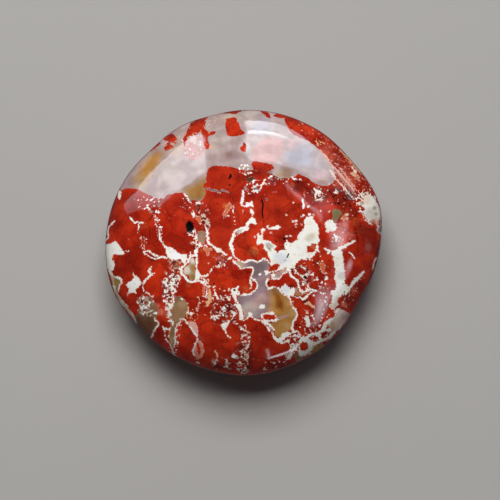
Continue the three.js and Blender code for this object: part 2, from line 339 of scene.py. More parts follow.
# Cream areas over the windows: tint and outline.
PATCHES = {
    "piece in the net": ("cream", [
        (221, 325), (225, 323.5), (229.5, 321), (228.5, 325), (226, 329), (225, 333), (223.5, 330),
        (221.5, 327),
    ]),
    "crossing, upper arm": ("cream", [
        (261, 229), (262.9, 228.3), (265.3, 229), (266.3, 229.7), (264.8, 231), (263.4, 231.2),
        (262.9, 232.9), (263.1, 235.8), (262.9, 238.3), (263.4, 239.7), (265.3, 240), (266.8, 240.7),
        (269.2, 240.7), (271.2, 242.2), (273.1, 243.7), (275.1, 245.2), (277, 246.2), (276, 247.3),
        (273.6, 248.3), (272.6, 248.8), (274.6, 249.5), (275.6, 251.2), (277, 252.7), (278.5, 252.4),
        (279, 250.7), (281.4, 249.8), (283.8, 250), (285.8, 250.3), (285.3, 248.8), (284.1, 247.3),
        (284.3, 245.4), (284.3, 243.1), (286, 241.2), (286.5, 239.7), (288, 240.7), (289.2, 242.2),
        (291.1, 243.1), (293.1, 242.7), (295, 241), (296.5, 240.5), (298, 239.7), (296.7, 238.8),
        (297.2, 236.8), (298.2, 234.9), (298.9, 233.4), (300.4, 232.4), (300.9, 231), (302.8, 229),
        (303.8, 227.1), (304.8, 224.6), (304.3, 222.2), (302.8, 221), (304.3, 219.8), (305.8, 218.3),
        (307.2, 216.8), (309.2, 216.4), (311.6, 216.1), (313.1, 217.8), (313.6, 219.8), (316, 222),
        (318, 226), (319, 231), (318.5, 236), (320, 240), (318, 244), (317, 249), (316, 253),
        (313.1, 256.1), (312.1, 258), (310.1, 259), (308.2, 258), (305.8, 258.5), (304.3, 260),
        (303.8, 260), (302.4, 258.5), (300.4, 259.8), (298.9, 261), (297.5, 262.4), (296, 263.9),
        (295.5, 265.8), (294.1, 267.1), (292.1, 266.8), (290.7, 268.3), (288.3, 268.3), (285, 268),
        (282, 269.5), (280, 270), (279, 270.3), (276.5, 271.5), (273, 272.5), (269.5, 272.3),
        (268.5, 271), (269.2, 269.7), (270.2, 266.3), (269.8, 263), (270.4, 260), (268.3, 256.1),
        (267.3, 254.2), (267, 252.2), (266.3, 250.5), (264.8, 249.8), (263.1, 249), (263.4, 247.3),
        (263.9, 245.4), (262.9, 243.4), (261, 243), (259.2, 243.9), (258.8, 245.9), (257.5, 245.9),
        (257, 244.4), (256.6, 242.5), (256.8, 239.7), (257.5, 237.3), (257, 235.3), (257, 233),
        (258.5, 233.2), (260, 235.1), (261, 234.9), (261.2, 231.5),
    ]),
    "left of the crossing": ("cream", [
        (252.4, 215.9), (254.1, 218.3), (255.6, 219.8), (255.8, 222.2), (256.6, 224.1), (255.6, 224.9),
        (254.1, 224.1), (252.2, 223.2), (250.2, 223.7), (249.3, 224.4), (248.8, 226.6), (249, 230.5),
        (247.3, 231), (244.4, 231), (242.4, 231.5), (240, 233.9), (238.5, 234), (239, 230), (240, 227),
        (242, 226.6), (244.4, 227), (245.4, 226.1), (245.4, 224.1), (246.8, 221.7), (249.3, 219.8),
        (250.5, 217.8),
    ]),
    "upper knot": ("white", [
        (245.4, 202.2), (247.3, 202.2), (249.7, 202.7), (251.7, 200.8), (253.2, 201), (252.9, 203.2),
        (253.2, 205.6), (253.9, 207.6), (252.2, 207.1), (250.2, 206.1), (248.8, 206.4), (246.8, 207.1),
        (244.9, 206.6), (243.9, 206.4), (244.1, 205.6), (246.1, 205.1), (245.4, 203.7),
    ]),
    "under the knot": ("cream", [
        (250, 208.3), (251.7, 209), (253.6, 210), (254.1, 212), (253.6, 214.4), (251.7, 214.9),
        (250.5, 213.4), (250.2, 211.5), (249.3, 210),
    ]),
    "bar": ("cream", [
        (267.3, 229), (269.7, 227.6), (273.1, 226.6), (275.6, 226.1), (278, 225.1), (279.4, 226.3),
        (281.2, 227.1), (279.9, 228), (278, 229.7), (276, 229.7), (273.6, 229.5), (271.2, 229.7),
        (269.2, 230), (268, 229.5),
    ]),
    "fleck over the bar": ("white", [
        (266.5, 224.6), (267.5, 225.6), (269, 225.4), (268.2, 226.8), (267, 227.6), (266.1, 227.1),
    ]),
    "fleck left of the arm": ("white", [
        (254.3, 235.4), (255.6, 235.8), (256.1, 237.3), (255.1, 238.5), (254.4, 237.8),
    ]),
    "bird fleck": ("cream", [
        (291.4, 218.3), (292.6, 218.8), (292.8, 220), (295, 220.7), (297.5, 219.8), (298, 220.7),
        (296, 221.7), (294.1, 222.2), (292.1, 222.7), (291.9, 221.2), (291.6, 219.8),
    ]),
    "fleck right of the bird": ("white", [
        (299.7, 216.8), (301.9, 216.4), (302.8, 214.4), (303.8, 214.2), (305, 215.4), (303.8, 216.6),
        (301.9, 217.6), (300.2, 217.6),
    ]),
    "line above the red bay": ("cream", [
        (284.1, 236.8), (285.3, 235.8), (286.8, 235.6), (288.2, 235.8), (290.2, 235.3), (292.1, 235.6),
        (293.6, 236.1), (293.1, 236.8), (290.7, 236.8), (288.7, 236.6), (285.8, 236.8),
    ]),
    "top cluster": ("cream", [
        (251.9, 184.7), (253.2, 185.2), (254.6, 185.9), (255.6, 184.7), (256.1, 183.5), (258, 184.4),
        (258.5, 185.4), (260, 184.9), (261.9, 184), (262.6, 184.7), (260.9, 185.8), (259, 186.4),
        (258, 185.9), (256.6, 186.6), (255.1, 187.6), (253.2, 186.6), (251.9, 185.9),
    ]),
    "block in the pocket": ("white", [
        (258, 273.1), (261.9, 272.7), (261.4, 274.6), (259.5, 275.8), (258.3, 275.1),
    ]),
    "second block in the pocket": ("cream", [
        (259.2, 305.3), (260.9, 304.3), (264.4, 304.3), (265.3, 305.8), (264.8, 308.2), (262.9, 309.2),
        (260.5, 309.2), (259, 307.7),
    ]),
    "ring at the pocket": ("cream", [
        (264.1, 270.2), (266.5, 270), (268.7, 270.7), (269.2, 272.2), (268.7, 274.1), (267.3, 275.3),
        (265.3, 275.1), (264.8, 273.1), (264.1, 271.7),
    ]),
    "step under the ring": ("cream", [
        (271.2, 273.6), (275.1, 273.1), (275.3, 275.1), (274.8, 277), (273.6, 278.3), (271.9, 278),
        (271.2, 276.6),
    ]),
    "under the boomerang": ("cream", [
        (280.9, 287.8), (282.4, 285.8), (284.8, 283.4), (286.8, 284.9), (289.2, 287.3), (290.7, 288.5),
        (292.6, 287.8), (294.1, 287.3), (295, 289.2), (295, 292.6), (294.1, 295.1), (291.6, 294.6),
        (289.2, 296), (287, 295.5), (284, 294), (282, 291), (280.5, 289.2),
    ]),
    "fleck right of the boomerang": ("cream", [
        (294.6, 268.8), (296.5, 269.7), (297, 272.2), (295, 274.1), (294.1, 272.7), (295, 271.2),
    ]),
    "west patch": ("cream", [
        (165, 246.5), (170, 246.4), (172, 247.8), (174.9, 249.8), (177.3, 252), (180.2, 253.4),
        (183.6, 253.9), (186.1, 253.9), (187, 255.1), (187, 258), (186.8, 260.5), (185.6, 262),
        (184.6, 263.4), (183.6, 263.6), (182.4, 262), (181.9, 260), (180.5, 259), (178.8, 259.3),
        (177.3, 259.5), (176.3, 261), (174.4, 260.5), (173.4, 259.5), (172.4, 261), (170, 259),
        (167.5, 257), (166, 253),
    ]),
    "white column": ("cream", [
        (193.9, 250.7), (196.8, 248.3), (198, 249.3), (198.3, 252.2), (197.3, 254.2), (198, 256.6),
        (197.8, 259.5), (198, 262), (197.3, 264.9), (197, 267.8), (198, 270.7), (199.7, 272.7),
        (201.2, 274.6), (201.7, 276.1), (200.2, 277.5), (198.3, 278), (199.2, 279.5), (196, 280),
        (195.1, 277), (195.3, 273), (195.8, 268), (195.5, 264), (195.3, 261), (195.8, 258.5),
        (195.3, 256), (194.4, 254.7),
    ]),
    "wing": ("cream", [
        (215.3, 248.3), (218.7, 247.8), (220.7, 248.8), (221.6, 250.3), (223.6, 251.7), (225.5, 253.2),
        (227, 254.9), (225, 255.9), (223.1, 254.2), (221.6, 252.7), (219.7, 251.7), (217.7, 252.4),
        (216.3, 252.2), (215.5, 250.3),
    ]),
    "wing's foot": ("cream", [
        (226.7, 259.5), (228.5, 258), (229.4, 256.1), (231.4, 255.9), (232.1, 257.6), (230.9, 259.3),
        (228.5, 260),
    ]),
    "peach streak": ("peach", [
        (208, 278.5), (209, 279), (209, 282.4), (209.5, 284.8), (209, 286.3), (209.9, 288.7),
        (210.7, 292.1), (211.4, 294.6), (211.2, 297), (211.9, 299.9), (210.4, 302.4), (209, 304.8),
        (207.5, 306.8), (207.3, 305.3), (205.6, 303.8), (205.1, 302.4), (207, 300.9), (208.2, 299.4),
        (207.7, 297), (208.2, 294.1), (208.5, 290.7), (208, 288.2), (208.5, 285.8), (207.5, 283.9),
        (207.5, 281.4),
    ]),
    "spear": ("cream", [
        (211.9, 286.8), (213.4, 285.8), (214.6, 286.3), (214.3, 288.7), (215.5, 291.7), (216.8, 294.1),
        (217.5, 296.5), (219.7, 298.5), (219.2, 299.2), (216.8, 298.5), (215.3, 296), (214.1, 295.1),
        (214.1, 292.6), (213.4, 289.7),
    ]),
    "fleck beside the eye": ("cream", [
        (225, 295.1), (227, 295.1), (228.5, 296.5), (230.4, 298), (230.9, 300.9), (228.9, 300.9),
        (227.5, 299.5), (226.5, 297),
    ]),
    "eye and its tail": ("cream", [
        (230.6, 288.7), (232.3, 288), (235.8, 287.8), (237.2, 286.3), (238.9, 285.8), (239.4, 287.3),
        (238.2, 289.2), (239.2, 291.7), (240.1, 294.1), (242.1, 294.6), (243.6, 293.1), (246, 292.9),
        (246, 294.6), (244, 295.6), (242.1, 296.3), (239.2, 296), (237.2, 295.1), (236.2, 296.5),
        (236.7, 298.5), (237.7, 300.9), (239.2, 302.4), (240.1, 304.8), (241.6, 307.2), (242.6, 310.2),
        (243.1, 313.1), (243.5, 316), (244, 320), (240, 320), (239.2, 316), (238.7, 312.6),
        (238.2, 310.2), (236.7, 308.2), (235.3, 306.8), (234.8, 304.8), (237.7, 303.8), (235.8, 301.4),
        (233.8, 299.4), (233.8, 296.5), (231.9, 295.1), (230.9, 292.6), (230.9, 290.2),
    ]),
    "peach tongue": ("salmon", [
        (203.1, 247.3), (206, 247.3), (208.5, 247.8), (211.4, 248.3), (212.4, 249.8), (209.5, 251.2),
        (209.2, 254.2), (208.5, 257.1), (206.5, 255.1), (206, 252.2), (204.1, 250.3),
    ]),
    "peach wedge on the right": ("peach", [
        (303.8, 303.4), (306.7, 303.4), (307.7, 301.4), (310.1, 301.9), (311.6, 304.4), (314.5, 305.8),
        (315, 308.7), (312.1, 307.7), (310.1, 305.8), (307.2, 304.8),
    ]),
    "orange patch under the cap": ("orange", [
        (222, 215), (225, 211), (226, 206), (229, 202.5), (231.5, 204), (231, 208), (228.5, 211),
        (226, 214.5), (223.5, 216.5),
    ]),
    "orange patch beside the pit": ("orange", [
        (195, 217.5), (198, 216), (201, 216.5), (201.5, 220), (200, 224), (197.5, 221.5),
    ]),
    "spot above the pit": ("cream", [(191.5, 214), (193.5, 211), (195, 213), (194.5, 217), (193.5, 219)]),
    "left edge upper": ("cream", [
        (117.5, 192), (119, 190), (121.5, 191), (121, 196), (119.5, 199.5), (118, 198),
    ]),
    "left edge patch": ("cream", [
        (104, 244), (110, 244), (112, 242.5), (114.5, 241), (117, 242), (119, 245), (121, 248),
        (124, 252), (124.5, 254), (122, 255), (114, 254), (112.5, 256), (112.5, 260), (114, 261.5),
        (115, 265), (114, 269), (112.5, 271), (110, 270.5), (105, 268),
    ]),
    "star": ("cream", [
        (133.5, 272), (134.5, 275), (137, 276), (139, 279), (141.5, 282), (140.5, 284.5), (138, 287.5),
        (135.5, 290), (136, 292), (137.5, 294.5), (134, 293), (130, 292.5), (127, 296.5), (127.5, 293),
        (129, 290.5), (128, 288), (125.5, 285), (128, 282.5), (131, 281), (133, 279.5), (134, 277),
        (133, 274),
    ]),
    "forked vein": ("cream", [
        (152.5, 265), (151.5, 267.5), (150.5, 270), (150.5, 273.5), (155.5, 273), (150, 277.5),
        (147, 280), (144.5, 283), (143, 285.5), (141.5, 284.5), (145, 279), (149.5, 274.5), (147.5, 271),
        (149, 268.5),
    ]),
    "column fleck": ("cream", [(168, 303), (172, 303.5), (172, 308), (169, 309)]),
    "column foot": ("white", [(168, 312), (171, 312), (172.5, 315), (170, 316)]),
    "pink blade": ("pink", [
        (197.5, 339), (200, 341.5), (203, 345), (204.2, 350), (202.5, 356), (199.5, 359), (196.5, 358),
        (193, 354), (192, 350.5), (194.5, 346),
    ]),
    "pink blade above": ("peach pink", [
        (188.5, 324), (191, 321.5), (195, 322), (197.3, 326.5), (198.2, 333), (197.8, 338), (195.5, 335),
        (192, 331), (189.5, 328),
    ]),
    "under the pocket": ("cream", [
        (272, 335), (275, 337), (279, 338.5), (281, 336.5), (282, 333.5), (287, 331.5), (293, 333),
        (283, 340), (281, 343), (277, 342.5), (274, 339.5),
    ]),
    "ring under the pocket": ("cream", [
        (261, 314), (266, 312.5), (270, 312), (272, 310), (275, 314), (278, 317), (277.5, 320),
        (272, 321.5), (264, 320), (261, 318.5),
    ]),
    "blob left of the ring": ("cream", [
        (248, 312.5), (250.5, 311.5), (252.5, 314), (252, 317.5), (249, 317.5),
    ]),
    "mass right of the pocket": ("cream", [
        (305, 315), (309, 316), (309.5, 320), (311, 324), (309, 328), (305, 326), (306, 321),
    ]),
    "right shoulder patch": ("cream", [
        (359, 192.5), (362, 194), (364.5, 196.5), (366, 195), (369, 194.5), (372, 196), (375, 199),
        (377.5, 203), (379.5, 207), (381, 212), (380.5, 217), (378, 222), (379, 226), (383, 231),
        (381, 235), (377.5, 232), (376.5, 228), (376, 223), (371, 222.5), (368.5, 221), (365, 217),
        (362.5, 212), (365, 209), (362, 206.5), (359, 204.5), (355.5, 202.5), (362, 202), (364, 199),
        (361, 196),
    ]),
    "right patch": ("cream", [
        (324.5, 222), (327, 220.5), (332, 219), (334, 221.5), (336, 224), (336.5, 228), (335.5, 231),
        (329, 231.5), (327.5, 233), (325.5, 232), (326, 229), (325, 226),
    ]),
    "right vein": ("cream", [
        (331, 251), (333, 250), (336, 250.5), (341, 250), (342.5, 252), (343, 256), (343.5, 260),
        (344.5, 264), (344, 268), (345, 271), (345, 275), (345.5, 279), (344.5, 282), (345.5, 284.5),
        (347, 286), (349.5, 286), (350.5, 284), (352, 281), (355, 278), (358, 276), (360, 274),
        (362, 272), (364, 270.5), (365, 272.5), (361, 277), (358, 280.5), (355, 283), (352.5, 286.5),
        (350.5, 289.5), (348, 292.5), (346, 294), (343, 294), (341, 296), (338.5, 299), (337.5, 302),
        (339, 304.5), (336, 307), (333, 309.5), (331, 307), (331, 303), (332, 299), (332, 295),
        (330.5, 293.5), (331, 290.5), (335, 290), (336, 287), (336.5, 284), (335.5, 281), (334, 279),
        (334.5, 276), (335.5, 272), (335.5, 269), (334.5, 266), (334.5, 262), (333, 259.5),
        (333.5, 256.5), (331.5, 254.5),
    ]),
    "orange patch": ("orange", [
        (319, 264), (323, 262), (325, 266), (325, 272), (327, 275), (323, 273), (321, 269),
    ]),
    "orange shoulder": ("orange", [(342, 216), (345, 215), (347, 217), (345, 219.5), (342, 219)]),
    "bottom cluster": ("cream", [
        (294, 344), (297, 346), (295, 350), (293, 353), (292, 356), (289, 359.5), (286, 360), (288, 355),
        (291, 350),
    ]),
    "lower right white": ("cream", [
        (299, 339), (301, 336), (305, 337), (309, 338), (312, 341), (315, 342), (312, 345), (311, 349),
        (309.5, 352), (306, 355), (300, 357), (298, 352), (299, 346),
    ]),
    "lower right rim": ("cream", [
        (341, 308), (338.5, 312), (336, 315.5), (333, 319.5), (330, 322.5), (327.5, 325), (326.5, 328),
        (325, 331), (323, 335), (319, 337), (316, 339), (314, 337), (318, 334), (321, 331), (322, 326),
        (324, 322.5), (328, 320), (331, 316.5), (334, 312.5), (337, 308.5),
    ]),
}

# Cream lines, and beside the cap streaks of painted reflection: tint, then points with the width there.
VEINS = {
    "pink streak on the left": ("salmon", [(141, 236, 0.6), (142, 243, 0.9), (141.5, 246, 0.6)]),
    "pink streak beside it": ("salmon", [(144.6, 238, 0.6), (144.4, 244, 0.8), (143.8, 250, 1)]),
    # The pale streaks beside the cap are painted reflection: the right panel's reflection running on along
    # the edge in streaks over mottled red.
    "reflection streak beside the cap, first": ("peach pink", [
        (320, 150, 1.4), (326, 157, 2.2), (331, 164, 1.8), (339, 173, 2.4), (347, 182, 2.4),
        (354, 191, 1.6),
    ]),
    "reflection streak beside the cap, second": ("pale rose", [
        (330, 170, 1), (335, 177, 1.8), (341, 184, 1.4), (348, 193, 1.6), (354, 199, 1),
    ]),
    "reflection streak beside the cap, third": ("peach pink", [
        (335, 163, 0.8), (343, 172, 1.2), (352, 184, 1.4), (357, 191, 0.8),
    ]),
    "streak beside the cap, grey": ("grey", [
        (333, 169, 0.8), (338, 175, 1.4), (344, 182, 1.1), (350, 189, 1.8), (355, 195, 1),
    ]),
    "rim below the ring": ("cream", [(263, 321, 2), (267, 323, 3), (271, 326, 3), (274, 330, 2.2)]),
    "band over the lower islands": ("cream", [
        (306, 338, 3), (311, 334.5, 3), (317, 333.5, 2.6), (322, 330.5, 2.4), (330, 330, 3),
    ]),
    "band under the lower islands": ("cream", [
        (307, 352, 3.5), (312, 345, 3.5), (317, 342.5, 3), (324, 340, 3), (330, 336.5, 3.5),
        (334, 332, 4),
    ]),
    "band between the lower islands": ("cream", [(319, 334, 2), (320, 341, 2.4)]),
    "left edge band, lower": ("pale rose", [
        (118, 300, 2), (124, 306, 2.6), (130, 312, 2.8), (134, 318, 2.4), (136, 323, 1.6),
    ]),
    "ring's lower rim": ("cream", [
        (261.5, 320, 1.6), (267, 321, 1.8), (273, 321.3, 1.8), (278, 319.6, 1.6),
    ]),
    "line up to the cap": ("white", [
        (243, 191, 2), (243, 194, 2.4), (243, 197, 2), (242.3, 200, 3.4), (241.7, 203, 3),
        (241.5, 205, 1.6), (244, 206.2, 1.6),
    ]),
    "tick under it": ("pink", [(243.5, 209.5, 1.2), (242.4, 212.6, 1.6)]),
    "join of the knots": ("tan", [(252.2, 214.5, 1), (252.3, 216.6, 1)]),
    "thick vein": ("cream", [
        (246, 227.8, 3), (241, 228.3, 3), (236.5, 230, 2.4), (233.8, 232.8, 2.6), (233, 237, 2.6),
        (231.5, 241, 3.4), (230.5, 244, 4), (231.5, 247, 4), (232.3, 250, 3.4), (233, 253, 2.6),
        (233.8, 256, 2.2), (235.5, 258.5, 2.2), (238.5, 260, 1.8), (242, 261.5, 1.6),
        (245.6, 262.8, 1.5), (247.5, 261, 2.2), (250, 260, 2.4), (252.5, 260.3, 2.2), (255, 261.3, 2),
        (257, 262.2, 1.6), (259, 261.8, 1.6), (261, 260.5, 2), (263, 258.8, 2.4), (265, 259.3, 2),
        (267, 260.3, 1.8), (269, 261.5, 1.8), (269.8, 264, 1.8),
    ]),
    "thick vein's other side": ("cream", [
        (243, 230.8, 1.6), (239.5, 233, 1.4), (237, 235, 1.4), (234.5, 236.5, 1.4),
    ]),
    "pocket rim, upper left": ("cream", [
        (233.5, 261.3, 1.6), (236, 263.5, 1.6), (238, 265.3, 1.6), (239, 266.5, 2.2), (241, 268.8, 2),
        (243.5, 268.3, 1.6), (246, 267.6, 1.2), (249, 267.4, 1.2), (251.5, 266.4, 1),
    ]),
    "pocket rim, left": ("cream", [
        (250.5, 267.3, 1.4), (252, 268.2, 1.6), (253.8, 269.5, 1.8), (253.5, 271.5, 2),
        (252.3, 273.5, 1.8), (251.3, 276, 1.8), (250.5, 278.3, 2.2), (250.3, 281, 2.2),
        (251.3, 284, 1.8), (251.2, 286.5, 1.6), (250.2, 289, 1.6),
    ]),
    "pocket rim, round the lens": ("cream", [
        (251, 278.6, 2), (252.3, 279, 2.2), (254.5, 279.7, 1.8), (256.3, 281, 1.8), (257, 283.5, 1.8),
        (257.3, 286, 1.8), (256.6, 288, 2), (255, 290.5, 2), (253, 292.3, 2), (250.5, 293.8, 2),
        (247.5, 294.8, 1.6), (244.5, 295, 1.6),
    ]),
    "pocket rim, right": ("cream", [
        (288, 269.5, 2.4), (286.5, 272.3, 1.6), (284, 273.3, 1.4), (282, 274.6, 1.4), (281, 276.5, 1.4),
        (279.8, 278.3, 1.6), (276, 279, 1.6), (273, 278.7, 1.8), (270, 278.5, 1.8), (267.5, 279.3, 2),
        (266.5, 281.5, 1.8), (266.7, 284.3, 1.6), (267.3, 286.5, 2), (269, 288.5, 2.2), (271.5, 288, 2),
        (274, 287, 1.6), (277, 287.3, 1.6), (279.5, 289, 1.8), (281.5, 292, 1.8), (284, 294.8, 1.8),
        (287, 295.8, 1.8), (289, 297.3, 2.2), (290.5, 299.5, 2.4), (291, 302.5, 2), (291.8, 305, 1.8),
        (293.3, 307.5, 1.8), (295, 309.3, 2), (296.5, 311.5, 2), (297.3, 314, 2), (296, 318, 2),
        (293.5, 321, 2), (292.5, 325, 2), (292, 329, 2), (293.5, 332, 2.2), (297, 331, 2), (299, 333, 2),
        (300, 336, 2),
    ]),
    "under the lens": ("cream", [
        (268.8, 270.5, 1.6), (269.8, 272, 2), (272, 272.2, 1.6), (275, 271, 1.6), (277.5, 270, 1.8),
        (279.5, 269, 2), (281, 267.5, 2.2), (283, 266, 2.5),
    ]),
    "line right of the boomerang": ("cream", [
        (288.5, 268.5, 2.4), (289.3, 271, 2.2), (290.3, 274, 2.4), (291.5, 276.3, 2.2), (294, 278, 2.2),
        (296.5, 279.5, 2.4), (298, 282, 2.6), (298.5, 285, 2.6), (299.3, 288, 2.2), (300, 290.5, 2),
        (302, 292.2, 1.8), (304.5, 291.8, 1.8), (307, 290, 2.2), (310, 289.3, 2.2), (313, 289.8, 1.8),
        (316, 290.5, 1.6),
    ]),
    "line under the tan pocket": ("cream", [
        (291.6, 295, 2.4), (294.1, 296.4, 1.8), (297.5, 297.3, 1.4), (300.4, 297, 1.6), (302, 299, 2.6),
        (303.8, 299.2, 2.6), (305.5, 298, 2.2), (306.5, 296.5, 2), (308.5, 295, 1.8), (310.5, 293, 1.8),
        (312, 291.8, 1.6),
    ]),
    "left pocket rim": ("cream", [
        (190.5, 252, 1), (190.3, 255, 2.4), (189.5, 258.5, 2.4), (188, 262, 2.2), (185.5, 264.3, 2),
        (182.5, 266.5, 2.4), (181, 269, 2.6), (181, 272, 2.6), (182, 274.5, 2.8), (184.5, 276, 2.6),
        (186, 278.5, 2.4), (188, 280.8, 2.2), (190.5, 282, 2), (193, 282, 2), (195.5, 281.3, 2),
        (198, 280.3, 2.2), (200.5, 281, 2.4), (202.5, 282.5, 2.6), (204.5, 282.8, 2.4), (205.8, 281, 2),
        (204, 279, 1.4), (200.5, 278, 1.4),
    ]),
    "left pocket's top": ("cream", [
        (190.3, 255, 2), (192, 255.6, 2.2), (194, 255.6, 2.4), (196, 255.5, 2.4),
    ]),
    "over the column": ("cream", [
        (190.5, 243.3, 1.2), (193.5, 242.5, 2), (196.5, 243.8, 2.2), (199.5, 245.3, 2),
        (201.5, 245, 1.4),
    ]),
    "pit pocket, right": ("cream", [
        (205, 226, 1.6), (206, 229, 1.8), (207.5, 232, 2), (207.2, 235, 1.8), (208.5, 238, 2),
        (207.3, 241, 2.4), (209, 243.5, 2.2), (212, 245.5, 1.6), (215, 247.5, 2.4), (217.5, 249.5, 2.6),
    ]),
    "pit pocket, left": ("cream", [
        (195, 229, 1.6), (195.5, 234, 1.8), (196.5, 238, 1.8), (195.5, 242, 1.8), (198, 244.5, 1.8),
        (202, 246, 1.6),
    ]),
    "pit pocket, sparkle": ("white", [(190, 234.5, 1.4), (193, 235, 1.6), (196, 236, 1.2)]),
    "moon": ("cream", [
        (203.5, 276.3, 1.8), (206, 275.6, 1.8), (208.3, 274.3, 1.8), (210, 272.3, 1.6),
        (211.3, 270, 1.2), (212.5, 267.5, 0.8),
    ]),
    "line left of the peach": ("white", [(206.5, 290, 1.4), (206.5, 293.6, 1.6), (205.6, 295.4, 1.4)]),
    "dash left of the peach": ("white", [(203.5, 296.5, 1.5), (206, 296.3, 1.5)]),
    "thread to the peach": ("cream", [(205, 282.4, 1.2), (206.5, 285.8, 1.6), (207.5, 286.8, 1.8)]),
    "orange bar": ("orange", [(203.5, 286, 2.2), (203.8, 291, 2.6), (204.2, 295.5, 2)]),
    "twig": ("cream", [(220.7, 295.6, 1.2), (222.6, 299, 1.3), (224.2, 300.2, 1)]),
    "peach twig": ("peach", [(212.5, 296, 0.9), (214.8, 298.5, 1)]),
    "brown pocket's right edge": ("pink", [(198.7, 303.5, 1.6), (198.6, 307, 1.8), (197.5, 311, 1.4)]),
    "brown pocket's left edge": ("cream", [
        (173.5, 297.5, 1.4), (173.8, 301, 1.8), (172.2, 306, 1.6), (171, 309, 1.6),
    ]),
    "grit line": ("smoky grey", [
        (205, 188, 2), (210, 189.5, 2), (217, 191, 2), (220, 192, 2), (223, 190, 1.8), (229, 193, 1.6),
    ]),
    "cap's white rim": ("white", [(184, 193.5, 1.5), (187, 197, 1.5), (189, 201, 1.2)]),
    "tick under the cap": ("white", [(233, 206, 1.2), (233.5, 213, 1.2)]),
    "tick left of it": ("white", [(223, 217.5, 1), (228.5, 216, 1.2)]),
    "dotted line on the right": ("white", [
        (302.6, 199, 1.8), (302.7, 201.5, 2.2), (303.4, 205, 2.6), (303.4, 208.5, 2.2),
    ]),
    "left edge band, outside": ("cream", [
        (109.5, 270, 3), (112, 276, 2.4), (113, 281, 2), (114, 287, 2), (116, 293, 2.4), (119, 298, 2.8),
        (123, 302.5, 3), (127, 306.5, 2.4),
    ]),
    "left edge band, inside": ("cream", [
        (112.5, 277, 2), (117, 277.3, 2.2), (121, 279, 2.2), (121.5, 282.5, 1.8), (119, 285.5, 1.8),
        (119, 289, 1.6), (117.5, 293, 2),
    ]),
    "blade's white edge": ("white", [
        (197.3, 339, 1.4), (195, 344, 1.6), (193.3, 348, 1.8), (192.5, 352, 1.6), (194, 355.5, 1.2),
    ]),
    "upper blade's white edge": ("white", [
        (190, 327, 1.4), (193, 331.5, 1.8), (196, 335.5, 2), (197.6, 339, 1.4),
    ]),
    "left edge line": ("cream", [(113, 200, 1), (112, 206, 1)]),
    "left edge curl": ("cream", [
        (114.5, 221, 1.2), (112, 223.5, 1.6), (109.5, 226, 1.6), (108, 229.5, 1.6), (107.8, 233, 1.6),
        (108.5, 237, 1.6), (105.5, 241, 1.6),
    ]),
    "curved vein": ("cream", [
        (130, 217, 1.5), (132, 220, 2), (134.5, 223, 2), (137, 222, 2), (140, 223, 2), (143, 222.5, 1.5),
    ]),
    "curved vein's branch": ("cream", [(138.5, 224, 1.2), (139, 227, 1.4), (138, 230.5, 1)]),
    "speckled vein": ("cream", [
        (158, 216, 1), (157, 222, 0.7), (155.5, 224, 1), (158, 227.5, 0.8), (159.5, 230, 1.6),
        (159, 233, 0.9), (159.5, 236, 1.5), (160.5, 240, 1), (162, 243, 1.8), (165, 247, 2.2),
    ]),
    "left dash": ("cream", [(125, 251, 1.2), (128, 251.5, 1.2)]),
    "hollow vein, upper": ("cream", [
        (143.5, 251.5, 1.6), (149, 251, 1.8), (153, 254, 2), (157, 256.5, 2), (165, 257.5, 2.2),
    ]),
    "hollow vein, lower": ("cream", [
        (143.5, 253, 1.4), (150, 257, 1.6), (155, 259, 1.8), (160, 258, 1.8),
    ]),
    "line from the star": ("cream", [
        (142.5, 287, 1), (144, 290, 1.2), (144.5, 292.5, 1.2), (147, 292.5, 1.2), (150, 295, 1.2),
        (152, 297, 1),
    ]),
    "vein round the dark pocket": ("cream", [
        (154.5, 318, 2), (155, 320.5, 2), (157.5, 321.5, 2), (158.5, 323, 2), (158, 326, 2),
        (155.5, 328, 2), (154, 331, 2), (153, 333, 2), (151.5, 337, 2),
    ]),
    "short vein": ("cream", [(162.5, 327, 1.4), (165, 329, 1.6), (168, 329.5, 1.6), (171, 328, 1.4)]),
    "short vein above": ("cream", [(170, 319, 1.4), (173, 322, 1.6), (172.5, 325, 1.4)]),
    "speckled vein at the bottom": ("cream", [
        (165, 331, 1.2), (164.5, 335, 1.4), (166, 339, 1.4), (168.5, 342, 1.4), (170.5, 345, 1.4),
        (172, 349, 1.6), (173.5, 353, 1.6), (174.5, 358, 1.4),
    ]),
    "rim of the big clast": ("cream", [
        (181, 321.5, 1.6), (178, 324, 1.8), (176, 328, 1.8), (175.3, 333, 1.6), (175, 338, 1.6),
        (175.5, 343, 1.6), (174, 346, 1.6), (172.5, 349, 1.4),
    ]),
    "rim above the big clast": ("cream", [
        (180, 319.5, 1.6), (182.5, 318.5, 1.8), (185, 320, 1.8), (187, 323, 1.6), (188.5, 325, 1.4),
    ]),
    "link to the net": ("cream", [(211, 318, 1.6), (213, 316, 2), (216, 317, 2), (218, 318.5, 2)]),
    "clast's white edge": ("cream", [
        (222, 324.5, 1.8), (224, 324, 2.4), (227, 322.5, 2.4), (229.5, 320.5, 1.6),
    ]),
    "clast's left edge": ("cream", [
        (224, 325, 2.6), (224.6, 329, 1.8), (226, 333, 1.6), (228, 336, 1.6), (231, 338, 1.2),
    ]),
    "drop": ("cream", [(232, 311, 1.6), (234, 314, 2.2), (233, 318, 2)]),
    "vein over the round clast": ("cream", [
        (240, 319.5, 1.6), (244, 320, 1.6), (247, 318.5, 1.8), (250.5, 314.5, 1.8), (252.5, 317, 1.8),
        (256, 319.5, 1.8), (260, 320.5, 1.6), (264, 323, 1.6), (267, 326, 1.8), (269, 330, 1.8),
        (272, 332, 1.8), (274, 336, 1.8), (277, 341, 1.8), (280, 342, 1.8),
    ]),
    "vein under the round clast": ("cream", [(240, 327, 1.3), (244, 330, 1.4), (250, 333, 1.2)]),
    "peach tick at the bottom": ("peach", [(215, 351, 1.2), (217, 354, 1.4), (217, 362, 1.2)]),
    "right vein's arm": ("cream", [
        (335, 251.5, 3), (338, 250, 3), (341, 247.5, 3), (345, 246.5, 3), (348, 244, 2.6),
